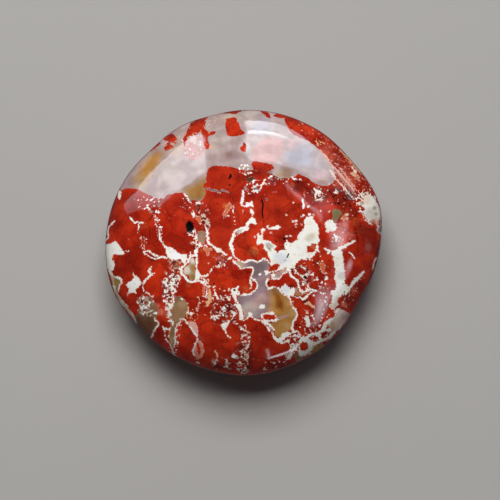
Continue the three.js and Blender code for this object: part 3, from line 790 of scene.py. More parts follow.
        (352, 242.5, 2.4), (355, 241, 2),
    ]),
    "cream ring on the right": ("cream", [
        (315.5, 196, 1.3), (316, 199, 1.3), (319, 199.5, 1.4), (321.5, 197.5, 1.4), (323, 196, 1.2),
    ]),
    "blob over the ring": ("cream", [(315, 190, 2), (317, 191.5, 2.4), (319, 194, 2)]),
    "small veins on the right": ("cream", [
        (317, 243, 1.5), (318.5, 247, 1.5), (317.5, 249.5, 1.5), (319, 252, 1.5), (320.5, 254.5, 1.2),
    ]),
    "bright line on the right": ("white", [(349.5, 252.5, 1), (352, 254.5, 1.4), (355, 259, 1)]),
    "right edge line": ("cream", [
        (376.5, 258, 1.2), (374.5, 261, 1.6), (373.5, 265, 1.6), (373, 269, 1.2),
    ]),
    "white triangle on the right": ("cream", [
        (324, 248.5, 1.6), (328, 250.5, 2), (330, 250.5, 2), (328, 253.5, 2), (326.5, 254, 1.6),
    ]),
    "whites over the dark spot": ("cream", [(304.3, 274.6, 1.1), (306, 274.4, 1.2), (308.2, 274.2, 1.2)]),
    "white beside the dark spot": ("cream", [(302.6, 276, 1.1), (303, 278.5, 1.1)]),
    "right red zone's tick": ("cream", [(307.8, 284.8, 1.6), (308.4, 286.8, 1.6)]),
    # The top strip is painted reflection, a streak of the right panel's reflection along the edge.
    "top strip": ("peach", [(340, 150, 1.6), (350, 160.5, 1.8), (360, 172.5, 1.6)]),
    "cream dash at the top right": ("cream", [(352, 167, 1.6), (356, 172, 1.8)]),
    "peach dash at the top right": ("peach", [(351, 173, 1.8), (360, 178, 1.8)]),
}

# Round flecks: tint, then x, y and diameter of each.
FLECKS = {
    "white": [
        (190, 231.6, 1.6), (193, 230.9, 1.6), (188.6, 233, 1.3), (191.5, 233.6, 1.3), (234, 217, 1.2),
        (234.6, 221, 1.2), (235, 224.5, 1.2), (182, 140, 1.8), (184, 144, 1.6), (198, 202.5, 2),
        (265, 180, 2), (268.5, 182.3, 2), (271.7, 176.4, 2), (289.2, 178.1, 2.2), (300.4, 178.8, 1.8),
        (257, 189.6, 2.2), (254.1, 180.8, 2.2), (308.4, 206.6, 2.2), (309.6, 214.4, 2.8),
        (313.6, 214.6, 1.8), (156, 211, 1.4), (159, 212.5, 1.4), (219, 263.4, 2), (221.2, 263.4, 1.8),
        (181.9, 299, 2.4), (148.5, 305.5, 1.4), (141, 306, 1.4), (143, 308, 1.4), (153, 296.5, 1.4),
        (153.5, 302, 1.4), (153, 310, 1.4), (163, 296, 1.4), (164, 301.5, 1.8), (163, 281.5, 1.4),
        (165, 285, 1.4), (304.8, 263, 1.6), (304.6, 266.8, 1.4), (303.1, 283.4, 1.8), (313, 274.6, 1.6),
        (314, 295.5, 2), (326, 278, 3), (325.5, 284, 1.8), (313, 275, 1.8), (322, 282.5, 1.8),
        (316, 279, 1.8), (323, 294, 1.8), (314, 295, 1.8), (328.5, 191.5, 2), (336.5, 192.5, 2),
        (328, 201.5, 2), (329, 212, 2.2), (321.5, 211, 2), (273, 363.5, 1.6), (278, 361.5, 1.6),
        (285, 363, 1.6), (265, 368.5, 1.4), (197.5, 362.5, 1.4), (187.5, 311.6, 2.4), (191, 313.6, 2.6),
        (307.2, 288.7, 1.6), (282.5, 264.3, 1.4), (292.4, 175.4, 1.6),
    ],
    "peach": [
        (286.3, 214.9, 2), (293.6, 202.2, 1.6), (301.4, 224.6, 1.8), (265, 183.7, 1.8),
        (216.8, 266.3, 1.6), (218.2, 267.3, 1.8), (223.5, 264.8, 1.8), (208.5, 263.4, 1.4),
        (187.3, 303.4, 1.6), (198, 297.5, 1.8), (293.4, 301.4, 1.4), (307.5, 311.8, 2.4), (211, 147, 4),
        (224, 289.8, 2), (228.5, 289.5, 2),
    ],
    "pink": [(296.4, 223.8, 1.6), (295.6, 226.2, 1.4), (271, 232.6, 1.8), (272.4, 234.4, 1.4)],
}

# Zones where the cream is crumbled: its tint, how full the zone is, where 0 is half full, and its outline.
# Two pink zones at the cap's right end paint the haze of a reflection, and the white sparkle under the
# small patch paints glints.
CRUMBLE = {
    # Painted glints: white grains for the sparkle in the veil of reflection beside the right vein.
    "sparkle under the small patch": ("white", -0.9, [
        (333, 235), (341, 233), (344, 239), (338, 244), (332, 241),
    ]),
    "left column": ("cream", 0.2, [
        (161, 280), (168, 276), (172, 273), (180, 275), (181, 281), (178, 288), (176, 294), (166, 297),
        (162, 289),
    ]),
    "left column, lower": ("cream", -0.5, [
        (164, 295), (174, 297), (173, 303), (171, 310), (170, 318), (174, 322), (168, 322), (165, 312),
        (163, 304),
    ]),
    "lower left pocket's grains": ("white", -0.5, [
        (137, 299), (143, 296), (149, 300), (156, 308), (157, 314), (146, 318), (138, 312),
    ]),
    "beside the brown pocket": ("peach", -0.8, [
        (187, 307), (196, 308), (199, 316), (196, 322), (188, 323), (183, 318),
    ]),
    "tail of the brown pocket": ("cream", -0.7, [
        (163, 328), (170, 329), (171, 338), (172, 347), (174, 352), (176, 345), (177, 334), (179, 325),
        (182, 324), (179, 340), (176, 356), (171, 355), (166, 342),
    ]),
    "net": ("cream", -1.3, [
        (213, 303), (222, 300), (236, 303), (239, 312), (241, 322), (236, 324), (229, 322), (222, 326),
        (218, 322), (212, 316),
    ]),
    "small marks above the net": ("cream", -1.4, [
        (207, 284), (226, 288), (236, 292), (237, 303), (222, 301), (212, 300),
    ]),
    "left of the net": ("peach", -1.4, [(200, 300), (212, 300), (214, 320), (203, 318)]),
    "bottom column": ("cream", -0.5, [
        (241, 322), (247, 326), (250, 333), (251, 342), (248, 352), (249, 362), (246, 374), (240, 374),
        (239, 362), (242, 350), (240, 338), (238, 328),
    ]),
    "bottom left edge": ("cream", -2.6, [
        (195, 360), (214, 358), (232, 356), (240, 362), (238, 374), (214, 372), (196, 366),
    ]),
    "bottom right edge": ("cream", -2.0, [(250, 362), (290, 356), (292, 366), (262, 374), (250, 374)]),
    "under the pocket": ("cream", -0.3, [
        (281, 336), (288, 332), (296, 332), (302, 334), (306, 338), (300, 345), (296, 352), (291, 357),
        (286, 362), (284, 356), (290, 348), (288, 342), (282, 344), (277, 343),
    ]),
    "right of the pocket": ("cream", -1.2, [
        (300, 310), (310, 312), (316, 318), (313, 330), (306, 336), (300, 328), (301, 318),
    ]),
    "below the right vein": ("cream", -1.3, [
        (318, 284), (330, 288), (332, 300), (333, 312), (328, 322), (322, 330), (316, 322), (322, 310),
        (320, 298),
    ]),
    "lower right": ("cream", -0.9, [
        (308, 336), (318, 334), (326, 326), (333, 330), (330, 340), (320, 347), (310, 354), (302, 358),
        (303, 346),
    ]),
    "right red zone": ("peach", -2.2, [
        (292, 268), (304, 258), (318, 256), (328, 262), (330, 282), (318, 290), (304, 290), (298, 282),
    ]),
    "right shoulder": ("pink", -2.1, [
        (300, 182), (318, 186), (332, 182), (346, 186), (356, 196), (352, 206), (336, 208), (322, 202),
        (306, 200),
    ]),
    "top right edge": ("peach", -1.4, [
        (336, 146), (350, 156), (364, 174), (373, 192), (362, 198), (354, 184), (342, 166),
    ]),
    "right shoulder patch": ("cream", -0.2, [
        (354, 196), (364, 190), (376, 196), (383, 210), (384, 226), (376, 228), (366, 222), (358, 210),
    ]),
    "right of the vein's head": ("pink", -2.1, [
        (336, 208), (356, 206), (362, 222), (356, 240), (342, 240), (338, 226),
    ]),
    "along the cap": ("cream", -2.1, [
        (244, 176), (262, 178), (276, 180), (296, 180), (300, 188), (282, 190), (262, 194), (246, 192),
    ]),
    "cluster at the cap's shoulder": ("peach", -0.1, [
        (314, 140), (319, 138.5), (325, 143), (324, 147), (317, 145),
    ]),
    "cluster on the right edge": ("peach", 0.1, [
        (351, 171), (356, 170), (361, 176), (360, 181), (354, 179),
    ]),
    "cap's lower crumbs": ("cream", -0.5, [
        (238, 165), (246, 163), (251, 166), (252, 173), (246, 175), (239, 172),
    ]),
    "under the cap's brown part": ("cream", -0.7, [
        (268, 176), (284, 178), (296, 176), (297, 180), (284, 182), (270, 181),
    ]),
    "ring on the shoulder": ("cream", -0.4, [(314, 190), (320, 188), (324, 194), (322, 200), (316, 198)]),
    "under the cap's dark pocket": ("white", -0.7, [
        (246, 184), (256, 182), (262, 186), (258, 194), (248, 194),
    ]),
    "between the lower veins": ("cream", -1.0, [
        (304, 326), (318, 322), (330, 322), (334, 330), (328, 338), (316, 342), (306, 338),
    ]),
    "broken line on the left": ("white", -0.5, [
        (153, 214), (160, 214), (163, 230), (163, 244), (158, 240), (156, 228),
    ]),
    "left of the tan pocket": ("cream", -1.5, [
        (189, 229), (195, 229), (196, 234), (195.5, 243), (190, 245), (193, 236),
    ]),
    "right of the tan pocket": ("white", -0.3, [
        (205, 230), (209, 231), (210, 242), (206, 246), (205.5, 238),
    ]),
    "below the tan pocket": ("white", -0.4, [(194, 243), (206, 243), (209, 248), (196, 248)]),
    "grey sparkle beside the pit": ("pale grey", -0.3, [
        (201, 214), (207, 216), (210, 227), (206, 231), (202, 224),
    ]),
    "mottled clast's grains": ("white", -1.2, [
        (182, 142), (190, 135), (203, 132), (207, 142), (204, 154), (196, 160), (185, 156),
    ]),
    "under the left reflection": ("white", -1.0, [
        (135, 199), (150, 196), (161, 199), (160, 208), (148, 210), (138, 207),
    ]),
    "below the golden pocket": ("white", -1.3, [
        (182, 198), (196, 201), (206, 206), (205, 214), (192, 212), (180, 206),
    ]),
    "streaks on the left": ("pink", -2.7, [(128, 232), (145, 232), (146, 250), (132, 250)]),
    "foot of the right vein": ("pink", -1.5, [
        (338, 296), (346, 287), (357, 277), (365, 273), (362, 285), (354, 299), (345, 308), (338, 306),
    ]),
    # Painted reflection: pink grains for the haze of the right panel's reflection over the red.
    "haze of the right reflection": ("pink", -1.7, [
        (318, 140), (332, 150), (344, 163), (354, 178), (360, 192), (350, 192), (340, 182), (332, 168),
        (320, 152),
    ]),
    "over the pit": ("pink", -1.5, [
        (192, 201), (202, 202), (208, 210), (211, 226), (208, 230), (202, 227), (202, 214), (194, 210),
    ]),
    "left of the pit": ("peach", -2.4, [(150, 204), (170, 206), (182, 214), (176, 226), (156, 224)]),
    "under the west patch": ("peach", -1.5, [(168, 258), (182, 260), (183, 272), (170, 272)]),
    "beside the clast": ("cream", -1.5, [(212, 256), (228, 256), (235, 263), (228, 269), (214, 268)]),
    "top clasts": ("peach", -1.4, [
        (160, 140), (184, 122), (210, 112), (222, 112), (214, 130), (196, 138), (178, 152), (164, 152),
    ]),
    # Painted reflection: the pink grains at the cap's right end are its haze over mottled red.
    "cap's right end": ("pink", -1.7, [
        (300, 122), (330, 140), (350, 166), (352, 180), (334, 186), (330, 160), (314, 140), (300, 132),
    ]),
}

# Red pieces that lie over the windows and the cream.
RED_PIECES = {
    "cap strip on the left": [(149, 150), (160, 142), (161, 144), (151, 151.5)],
    "cap left": [(163, 139), (166, 136), (172, 133), (177, 138), (176, 144), (172, 143), (166, 141)],
    "cap left, lower": [(163, 148), (168, 142), (174, 147), (170, 149), (166, 151)],
    "cap middle": [
        (183, 138), (187, 131), (190, 124), (194, 120), (200, 116), (205, 114), (211, 113), (208, 117),
        (206, 120), (205, 125), (206, 130), (209, 132), (214, 131.5), (216, 129), (215, 134), (211, 135),
        (208, 137), (208, 141), (210, 145), (208, 149), (206, 149), (204, 145), (203, 136), (201, 132),
        (197, 134), (192, 136), (188, 137), (186, 142), (184, 148),
    ],
    "cap square": [
        (226, 119), (230, 118), (235, 116.5), (237, 119), (238, 122), (240, 126), (242, 130), (245, 133),
        (243, 135), (237, 136), (230, 137), (227, 135), (226, 130), (225, 124),
    ],
    "cap top strip": [(222, 112.5), (230, 113.8), (236, 113.5), (242, 110.8), (242, 108), (222, 110)],
    "cap small": [(240, 148), (242, 145), (244, 142.5), (246, 144), (247, 148), (245, 152), (243, 152)],
    "cap strip": [(260, 111), (269, 112.5), (271, 119), (266.5, 116.8)],
    "cap strip, right": [(272, 116), (276, 114), (283, 114.5), (286, 117), (281, 118.5)],
    "cap lower": [
        (251, 164), (254, 161.5), (262, 162), (268, 163.5), (272, 165), (275, 168), (270, 171),
        (265, 172.5), (254, 170), (252, 167),
    ],
    "lens": [
        (269.2, 269.7), (270.2, 266.3), (273.1, 265.1), (275.1, 263.9), (278, 263.9), (279.9, 264.6),
        (279, 267.3), (277, 269.7), (274.1, 271), (271.2, 271.2), (269.5, 271),
    ],
    "small lens": [
        (252.2, 280.5), (254.6, 281), (255.8, 282.4), (255.1, 283.9), (254.6, 286.8), (253.2, 289.2),
        (251.7, 291.2), (250.5, 291), (251.9, 287.8), (252.2, 284.8),
    ],
    "boomerang": [
        (269.2, 280), (271.2, 279.5), (274.1, 279.7), (277, 280), (279.9, 279.8), (280.9, 277.6),
        (282.4, 275.9), (284.8, 274.8), (286.8, 273.5), (288, 274.3), (288.7, 277), (290.2, 279.5),
        (291.6, 280.9), (293.1, 281.9), (293.6, 284.4), (292.1, 285.8), (290.7, 288.2), (289.2, 286.3),
        (287.2, 284.4), (285.3, 282.4), (283.8, 283.4), (281.9, 285.3), (280.4, 287), (278.5, 286.3),
        (276, 285.8), (273.6, 285.6), (271.2, 285.8), (270.2, 284.4), (269.4, 282.4),
    ],
    "island in the mass": [
        (307.2, 246.8), (308.2, 245.9), (310.1, 246.4), (311.6, 243.9), (313.6, 242.9), (316, 244),
        (316.5, 248), (315, 250.7), (313.1, 252.2), (310.6, 251.7), (308.7, 252.7), (307.2, 252.2),
        (307.7, 249.8),
    ],
    "notch in the mass": [(269, 263), (268, 259), (269.5, 258), (270.4, 260)],
    "heart of the ring": [
        (262.5, 315.5), (265, 313.9), (268, 314.2), (271, 314.9), (274.5, 314.7), (277, 318.8),
        (273, 319.8), (268, 319.5), (263.5, 319.1),
    ],
    "heart of the eye's tail": [(234.8, 310.8), (238.8, 310.5), (239.5, 317), (235, 317)],
    "notch in the rim": [(181.7, 276.5), (183.5, 276.3), (184.6, 278.5), (183.3, 279.8), (181.8, 278.5)],
    "lower right island, left": [(311, 336.5), (315, 335.5), (318.5, 337.5), (317, 341), (312.5, 341)],
    "lower right island, right": [
        (321, 333), (325, 331), (329, 332), (328.5, 336), (325, 338.5), (321.5, 337),
    ],
    "island beside the vein's foot": [
        (330, 312), (333, 310.5), (335.2, 313), (334, 317), (330.5, 318), (329, 315),
    ],
    "island on the lower right": [
        (299.8, 344), (302.5, 342), (306, 342.2), (308.3, 345), (307.5, 349), (304, 351.2), (301, 350.8),
    ],
    "heart of the blade": [
        (197, 341.5), (198.5, 344), (200, 349), (200.3, 354), (198.5, 355), (197.3, 350), (196.6, 345),
    ],
}

# Dark marks. Cracks are lines, and holes are small dark spots; four spots beside the pit are painted shade
# that widens its black.
CRACKS = {
    "shoulder line, left": [(302, 185, 0.6), (308, 189, 0.9), (313, 196, 0.8), (318, 204, 0.6)],
    "shoulder line, middle": [(323, 186, 0.7), (330, 191, 1), (334, 199, 0.8), (336, 207, 0.6)],
    "shoulder line, upper": [(331, 188, 0.6), (340, 194, 0.9), (347, 201, 0.9), (353, 209, 0.6)],
    "shoulder line, low": [(322, 205, 0.6), (333, 203, 0.9), (344, 205, 0.6)],
    "line in the right red": [(350, 214, 0.6), (354, 226, 0.8), (358, 240, 0.8), (358, 254, 0.6)],
    "upright crack on the left": [(149.5, 223, 0.6), (150, 231, 0.8), (150.2, 239, 0.6)],
    "long crack": [
        (260.7, 195.9, 0.8), (261.9, 200.3, 1.4), (262.9, 204.2, 1.8), (262.7, 208.1, 1.8),
        (262.2, 212, 1.6), (262.9, 216.8, 1.4), (263.4, 219.8, 1), (263.9, 222.7, 0.6),
    ],
    "pit's crack": [(183, 217, 0.6), (186.5, 227, 0.8)],
    "crack under the hollow vein": [(150, 260, 1), (156, 260.3, 1)],
    "crack over the hollow vein": [
        (144, 223, 0.8), (147, 221, 0.9), (150, 219, 0.9), (152, 216, 0.9), (153, 213, 0.7),
    ],
    "crack in the mass": [(288.7, 253.9, 1.2), (287.8, 255.6, 1.5), (286.9, 258, 1.3)],
    "crack in the crossing": [(266.5, 244.5, 0.8), (268.5, 248, 1), (270.7, 250.4, 1)],
    "crack at the bar": [(274, 239.2, 0.8), (275.6, 240.8, 1.1), (277.5, 242.2, 0.7)],
    "crack beside the wing": [(232.6, 254.8, 0.8), (232.8, 257, 1), (232.9, 259.3, 0.8)],
    "ring crack": [(287.2, 214.4, 0.6), (288, 212, 0.8), (290.2, 210.5, 0.9), (293.6, 209.5, 0.6)],
}
HOLES_AND_PIT_SHADE = [
    (229, 178.6, 2), (229.6, 185, 2), (230.8, 174.8, 1.8), (236, 180, 1.2), (271, 195, 1.2),
    (327, 197, 1.6), (334.5, 196, 2), (339, 203, 1.6), (344, 199.5, 1.8), (350, 206, 1.8),
    (307, 188, 1.6), (310.5, 184.5, 1.4), (318, 270, 1.4), (312.5, 285, 1.6), (321, 289, 1.4),
    # Painted shade beside the pit: these four spots widen its black look, and are shadow, not holes.
    (192.4, 223.6, 2.4), (192.8, 226.4, 2.8), (192.6, 229.2, 2.6), (189.5, 222.2, 2),
    (268.4, 282.9, 2.6), (284.3, 238.9, 3), (305.5, 277.4, 3.2), (306.9, 269.6, 2.2), (234.5, 290, 2.4),
    (230.5, 176.5, 3), (296.5, 325, 2.2), (235, 319.5, 2), (342.8, 263.5, 1.1), (343.2, 283.8, 1.2),
    (347.5, 288.5, 1.4), (344.5, 292, 1.6), (237.7, 292.6, 1.2), (286.5, 244.4, 1.2), (213.9, 283.6, 2),
    (211, 285.2, 1.6), (176.2, 284, 1.6), (171.5, 278.4, 1.4), (297.7, 181.8, 1.8), (200.7, 298.5, 1.6),
    (259.6, 220, 1.2), (285, 260.5, 1.2),
]

# Gritty zones, where the stone is a crumble of white, maroon and tan grains.
GRIT = {
    "over the pit": [
        (192, 201), (200, 201), (206, 207), (210, 215), (211, 226), (208, 230), (203, 229), (204, 222),
        (201, 214), (196, 213), (193, 207),
    ],
    "left": [(150, 205), (160, 206), (160, 214), (150, 213)],
    "lower left": [(138, 296), (150, 296), (150, 312), (140, 312)],
    "left column": [
        (166, 272), (172, 268), (180, 272), (179, 282), (176, 292), (174, 300), (167, 300), (165, 288),
    ],
    "under the west patch": [(170, 260), (181, 260), (181, 274), (171, 276)],
    "over the clast": [(216, 258), (226, 256), (234, 262), (232, 266), (222, 267), (216, 266)],
    "net": [
        (215, 300), (224, 298), (236, 302), (237, 316), (236, 322), (226, 322), (214, 322), (212, 312),
    ],
    "bottom column": [
        (240, 328), (249, 334), (250, 345), (252, 356), (250, 372), (238, 372), (240, 356), (238, 342),
    ],
    "bottom left speckles": [(213, 360), (230, 358), (231, 370), (214, 368)],
    "bottom middle speckles": [(230, 354), (240, 352), (241, 371), (232, 371)],
    "right of the boomerang": [(299, 268), (308, 265), (312, 276), (308, 285), (301, 282)],
    "right shoulder": [(313, 188), (322, 187), (327, 195), (323, 201), (314, 198)],
}

# Soft stains in the red body, and a row of pink that paints the haze of a reflection beside the cap: x, y,
# how far they reach, tint and strength.
BODY_STAINS = [
    (337, 242, 9, "pink", 0.45), (346, 216, 5, "orange", 0.45), (355, 222, 6, "orange", 0.45),
    (350, 229, 5, "bright red", 0.6), (362, 230, 6, "orange", 0.35), (351, 235, 5, "pink", 0.45),
    (345, 224, 4, "salmon", 0.5), (368, 247, 5, "pink", 0.35), (364, 240, 5, "bright red", 0.5),
    (313, 246, 4, "salmon", 0.45), (316, 249, 3, "pink", 0.5), (322, 266, 6, "orange", 0.4),
    (357, 262, 7, "bright red", 0.35), (366, 219, 4, "pink", 0.4), (254, 251, 6, "orange", 0.7),
    (249, 252.5, 3, "orange", 0.5), (200, 258, 5, "bright red", 0.5), (201, 250, 3, "orange", 0.4),
    (188, 284.5, 4, "orange", 0.7), (298, 186, 9, "maroon", 0.8), (293, 184.5, 3, "orange", 0.5),
    (280, 212, 8, "deep red", 0.35), (305, 301, 4, "maroon", 0.9), (292, 271, 3, "maroon", 0.7),
    (298, 268, 5, "maroon", 0.5), (308, 278, 8, "maroon", 0.5), (176, 268, 6, "maroon", 0.8),
    (248, 272, 3, "maroon", 0.7), (195, 247, 4, "maroon", 0.6), (219, 254, 4, "maroon", 0.6),
    (272, 181, 7, "smoky grey", 0.45), (160, 312, 5, "pink", 0.5), (168, 285, 8, "smoky grey", 0.7),
    (173, 277, 6, "smoky grey", 0.6), (166, 294, 6, "smoky grey", 0.5), (175, 265, 6, "brown", 0.4),
    (169, 304, 5, "brown", 0.5), (168, 314, 5, "brown", 0.4), (336, 240, 9, "maroon", 0.6),
    (262, 172, 8, "maroon", 0.5), (248, 177, 7, "maroon", 0.6), (272, 178, 6, "maroon", 0.5),
    (237, 176, 5, "maroon", 0.3), (316, 262, 7, "deep red", 0.5), (322, 276, 7, "maroon", 0.4),
    (300, 286, 6, "maroon", 0.4), (312, 290, 6, "maroon", 0.5), (330, 196, 10, "maroon", 0.4),
    (320, 311, 10, "maroon", 0.6), (157, 306, 4, "pink", 0.4), (345, 216, 8, "orange", 0.3),
    (352, 226, 8, "bright red", 0.5), (342, 232, 8, "deep red", 0.4), (356, 212, 7, "maroon", 0.4),
    (330, 224, 6, "deep red", 0.4), (252, 194, 6, "maroon", 0.4), (205, 266, 6, "bright red", 0.3),
    (350, 196, 8, "maroon", 0.6), (245, 289, 5, "orange", 0.5), (291, 286, 3, "maroon", 0.9),
    (266, 237, 5, "deep red", 0.5), (222, 280, 14, "bright red", 0.35),
    (275, 195, 18, "bright red", 0.3), (150, 235, 16, "deep red", 0.25), (130, 270, 18, "deep red", 0.3),
    (300, 310, 10, "bright red", 0.2), (202, 220, 6, "maroon", 0.6), (228, 308, 10, "maroon", 0.6),
    # The pink stains from (326, 150) to (340, 183) are painted reflection, the haze beside the cap's right
    # end.
    (245, 350, 12, "maroon", 0.5), (326, 150, 9, "pink", 0.3), (335, 160, 9, "pink", 0.3),
    (344, 171, 9, "pink", 0.3), (351, 182, 9, "pink", 0.25), (340, 183, 8, "pink", 0.25),
    (345, 191, 7, "smoky grey", 0.35), (352, 197, 6, "smoky grey", 0.4), (335, 189, 6, "smoky grey", 0.3),
    (340, 200, 9, "maroon", 0.55), (322, 193, 8, "maroon", 0.5), (348, 208, 9, "maroon", 0.45),
    (312, 190, 7, "maroon", 0.5), (348, 298, 8, "maroon", 0.7), (357, 284, 8, "maroon", 0.5),
    (352, 291, 6, "pink", 0.3), (344, 305, 5, "pink", 0.4), (370, 248, 12, "deep red", 0.35),
    (366, 262, 10, "deep red", 0.3), (366, 234, 10, "maroon", 0.25), (366, 226, 8, "maroon", 0.4),
    (252, 240, 8, "bright red", 0.3), (166, 266, 8, "deep red", 0.4), (280, 176, 8, "maroon", 0.6),
    (252, 172, 8, "maroon", 0.4), (300, 125, 14, "bright red", 0.5), (312, 134, 10, "bright red", 0.5),
    (158, 300, 6, "maroon", 0.5), (225, 206, 4, "orange", 0.5), (143, 225, 6, "orange", 0.25),
    (200, 340, 6, "pink", 0.2), (330, 205, 12, "bright red", 0.3),
]

# How far apart the skin's points lie on top, and underneath, where little detail shows.
TOP_STEP = 0.21 * MM
BASE_STEP = 0.55 * MM
# The section's angles, in degrees above the girdle, between which the one step grows to the other.
FINE_DOWN_TO, COARSE_FROM = -28, -55
# Marks are followed this far beyond their own edges, in pixels.
MARK_REACH = 4
# A mark's tint starts a little outside its edge and is full a little inside it, in pixels.
TINT_START, TINT_FULL = -0.9, 0.5
# Round marks are very short lines, with these half lengths in pixels.
FLECK_HALF_LENGTH, HOLE_HALF_LENGTH = 0.2, 0.1
# Crumble stays this far inside its outline, and out of points that are deeper in the cream than this.
CRUMBLE_INSET, CREAM_NEAR = 0.8, -0.5
# Crumble's tint grows between these depths, in pixels, and its grains over this many up to its full depth.
CRUMBLE_TINT_START, CRUMBLE_TINT_FULL, CRUMBLE_FADE = -3, -0.5, 2
# A soft stain is at full strength out to this share of its reach.
STAIN_CORE = 0.35
# Gritty zones fade over this many pixels to either side of their outline.
GRIT_FADE = 2.5
# The polish's waviness grows between these steepnesses of the skin, and the underside has none.
WAVY_FROM, WAVY_FULL = -0.3, 0.3
# How finely the section is measured when the rings are spaced along it.
SECTION_SAMPLES = 20001
# The side facing the camera less than this is out of the photo, and beyond the second value it is in it.
HIDDEN_FACING, SHOWN_FACING = 0.04, 0.16


def smoothstep(low, high, value):
    share = np.clip((value - low) / (high - low), 0, 1)
    return share * share * (3 - 2 * share)


def outline_radius(heading):
    """The plan outline's radius at headings in degrees: a smooth closed curve through the readings."""
    angles = np.array([angle for angle, _ in OUTLINE], float)
    radii = np.array([radius for _, radius in OUTLINE]) * MM
    count = len(OUTLINE)
    at = np.mod(heading, 360)
    start = np.searchsorted(angles, at, side="right") - 1

    def reading(index):
        return angles[index % count] + 360 * (index // count), radii[index % count]

    (angle0, radius0), (angle1, radius1), (angle2, radius2), (angle3, radius3) = (
        reading(start + step) for step in (-1, 0, 1, 2)
    )
    span = angle2 - angle1
    slope1 = (radius2 - radius0) / (angle2 - angle0)
    slope2 = (radius3 - radius1) / (angle3 - angle1)
    t = (at - angle1) / span
    eased_start = (1 + 2 * t) * (1 - t) ** 2 * radius1 + t * (1 - t) ** 2 * span * slope1
    eased_end = t * t * (3 - 2 * t) * radius2 + t * t * (t - 1) * span * slope2
    return eased_start + eased_end


def stone_points(heading, share, height):
    """Points of the skin. share is the distance from the middle over the outline's radius."""
    angle = np.radians(heading)
    radius = share * outline_radius(heading)
    wave_angle = np.radians(heading - GIRDLE_WAVE_HEADING)
    wave = GIRDLE_WAVE_HEIGHT * np.cos(GIRDLE_WAVE_LOBES * wave_angle) * share ** 3
    lean = (1 - share * share) * (height / DOME_HEIGHT)
    level = np.maximum(height + wave, REST_WEAR - UNDERSIDE_DEPTH)
    return np.stack([
        radius * np.cos(angle) + DOME_LEAN[0] * lean,
        radius * np.sin(angle) + DOME_LEAN[1] * lean,
        level,
    ], axis=-1)


def section(angle):
    """The section's share of the radius and its height, at angles above the girdle in radians."""
    share = np.maximum(np.cos(angle), 0) ** (2 / SHOULDER_FULLNESS)
    height = np.sin(angle) * np.where(angle < 0, UNDERSIDE_DEPTH, DOME_HEIGHT)
    return share, height


def skin_step(angle):
    """How far apart the points lie at that angle of the section."""
    degrees = np.degrees(angle)
    coarse = smoothstep(0, 1, (FINE_DOWN_TO - degrees) / (FINE_DOWN_TO - COARSE_FROM))
    return TOP_STEP + (BASE_STEP - TOP_STEP) * coarse


def ring_angles():
    """The angles of the rings of points, from the dome's middle to the underside's."""
    fine = np.linspace(math.pi / 2, -math.pi / 2, SECTION_SAMPLES)
    share, height = section(fine)
    length = np.hypot(np.diff(share * MEAN_RADIUS), np.diff(height))
    middle = (fine[1:] + fine[:-1]) / 2
    rows = length / (skin_step(middle) * math.sqrt(3) / 2)
    passed = np.concatenate([[0], np.cumsum(rows)])
    count = round(passed[-1])
    return np.interp(np.arange(1, count) * passed[-1] / count, passed, fine)


def skin_mesh():
    """The skin's points and triangles: rings of evenly spaced points, zipped together, with two poles."""
    angles = ring_angles()
    shares, heights = section(angles)
    counts = np.maximum(6, np.round(2 * math.pi * MEAN_RADIUS * shares / skin_step(angles))).astype(int)
    points = [stone_points(np.zeros(1), np.zeros(1), np.full(1, DOME_HEIGHT))]
    for index, (share, height, count) in enumerate(zip(shares, heights, counts)):
        heading = (np.arange(count) + 0.5 * (index % 2)) * 360 / count
        points.append(stone_points(heading, np.full(count, share), np.full(count, height)))
    points.append(stone_points(np.zeros(1), np.zeros(1), np.full(1, -UNDERSIDE_DEPTH)))
    starts = 1 + np.concatenate([[0], np.cumsum(counts)])
    triangles = []
    first = np.arange(counts[0])
    triangles.append(np.stack([0 * first, 1 + first, 1 + (first + 1) % counts[0]], axis=1))
    for upper in range(len(counts) - 1):
        triangles.extend(zip_rings(starts[upper], counts[upper], starts[upper + 1], counts[upper + 1]))
    last, start, bottom = np.arange(counts[-1]), starts[-2], starts[-1]
    triangles.append(np.stack([0 * last + bottom, start + (last + 1) % counts[-1], start + last], axis=1))
    return np.concatenate(points), np.concatenate(triangles)


def zip_rings(upper_start, upper_count, lower_start, lower_count):
    """The triangles between two rings: one on each edge of either ring."""
    i = np.arange(upper_count)
    tip = -(-(i + 1) * lower_count // upper_count) - 1
    hanging = np.stack([
        upper_start + i,
        lower_start + tip % lower_count,
        upper_start + (i + 1) % upper_count,
    ], axis=1)
    j = np.arange(lower_count)
    tip = (j + 1) * upper_count // lower_count
    standing = np.stack([
        lower_start + j,
        lower_start + (j + 1) % lower_count,
        upper_start + tip % upper_count,
    ], axis=1)
    return hanging, standing


def sink_pit(points):
    """Lowers the points inside the open pit, and returns how far inside it each point lies, from 0 to 1."""
    share = np.full(1, PIT_SHARE)
    height = DOME_HEIGHT * np.sqrt(1 - share ** SHOULDER_FULLNESS)
    mouth = stone_points(np.full(1, float(PIT_HEADING)), share, height)[0]
    turn = math.radians(PIT_TURN)
    along_x, along_y = points[:, 0] - mouth[0], points[:, 1] - mouth[1]
    across = (along_x * math.cos(turn) + along_y * math.sin(turn)) / (PIT_WIDTH / 2)
    lengthwise = (along_y * math.cos(turn) - along_x * math.sin(turn)) / (PIT_LENGTH / 2)
    sunk = smoothstep(PIT_LIP, PIT_FLOOR, np.hypot(across, lengthwise))
    inside = np.where(points[:, 2] > 0, sunk, 0)
    points[:, 2] -= PIT_DEPTH * inside
    return inside


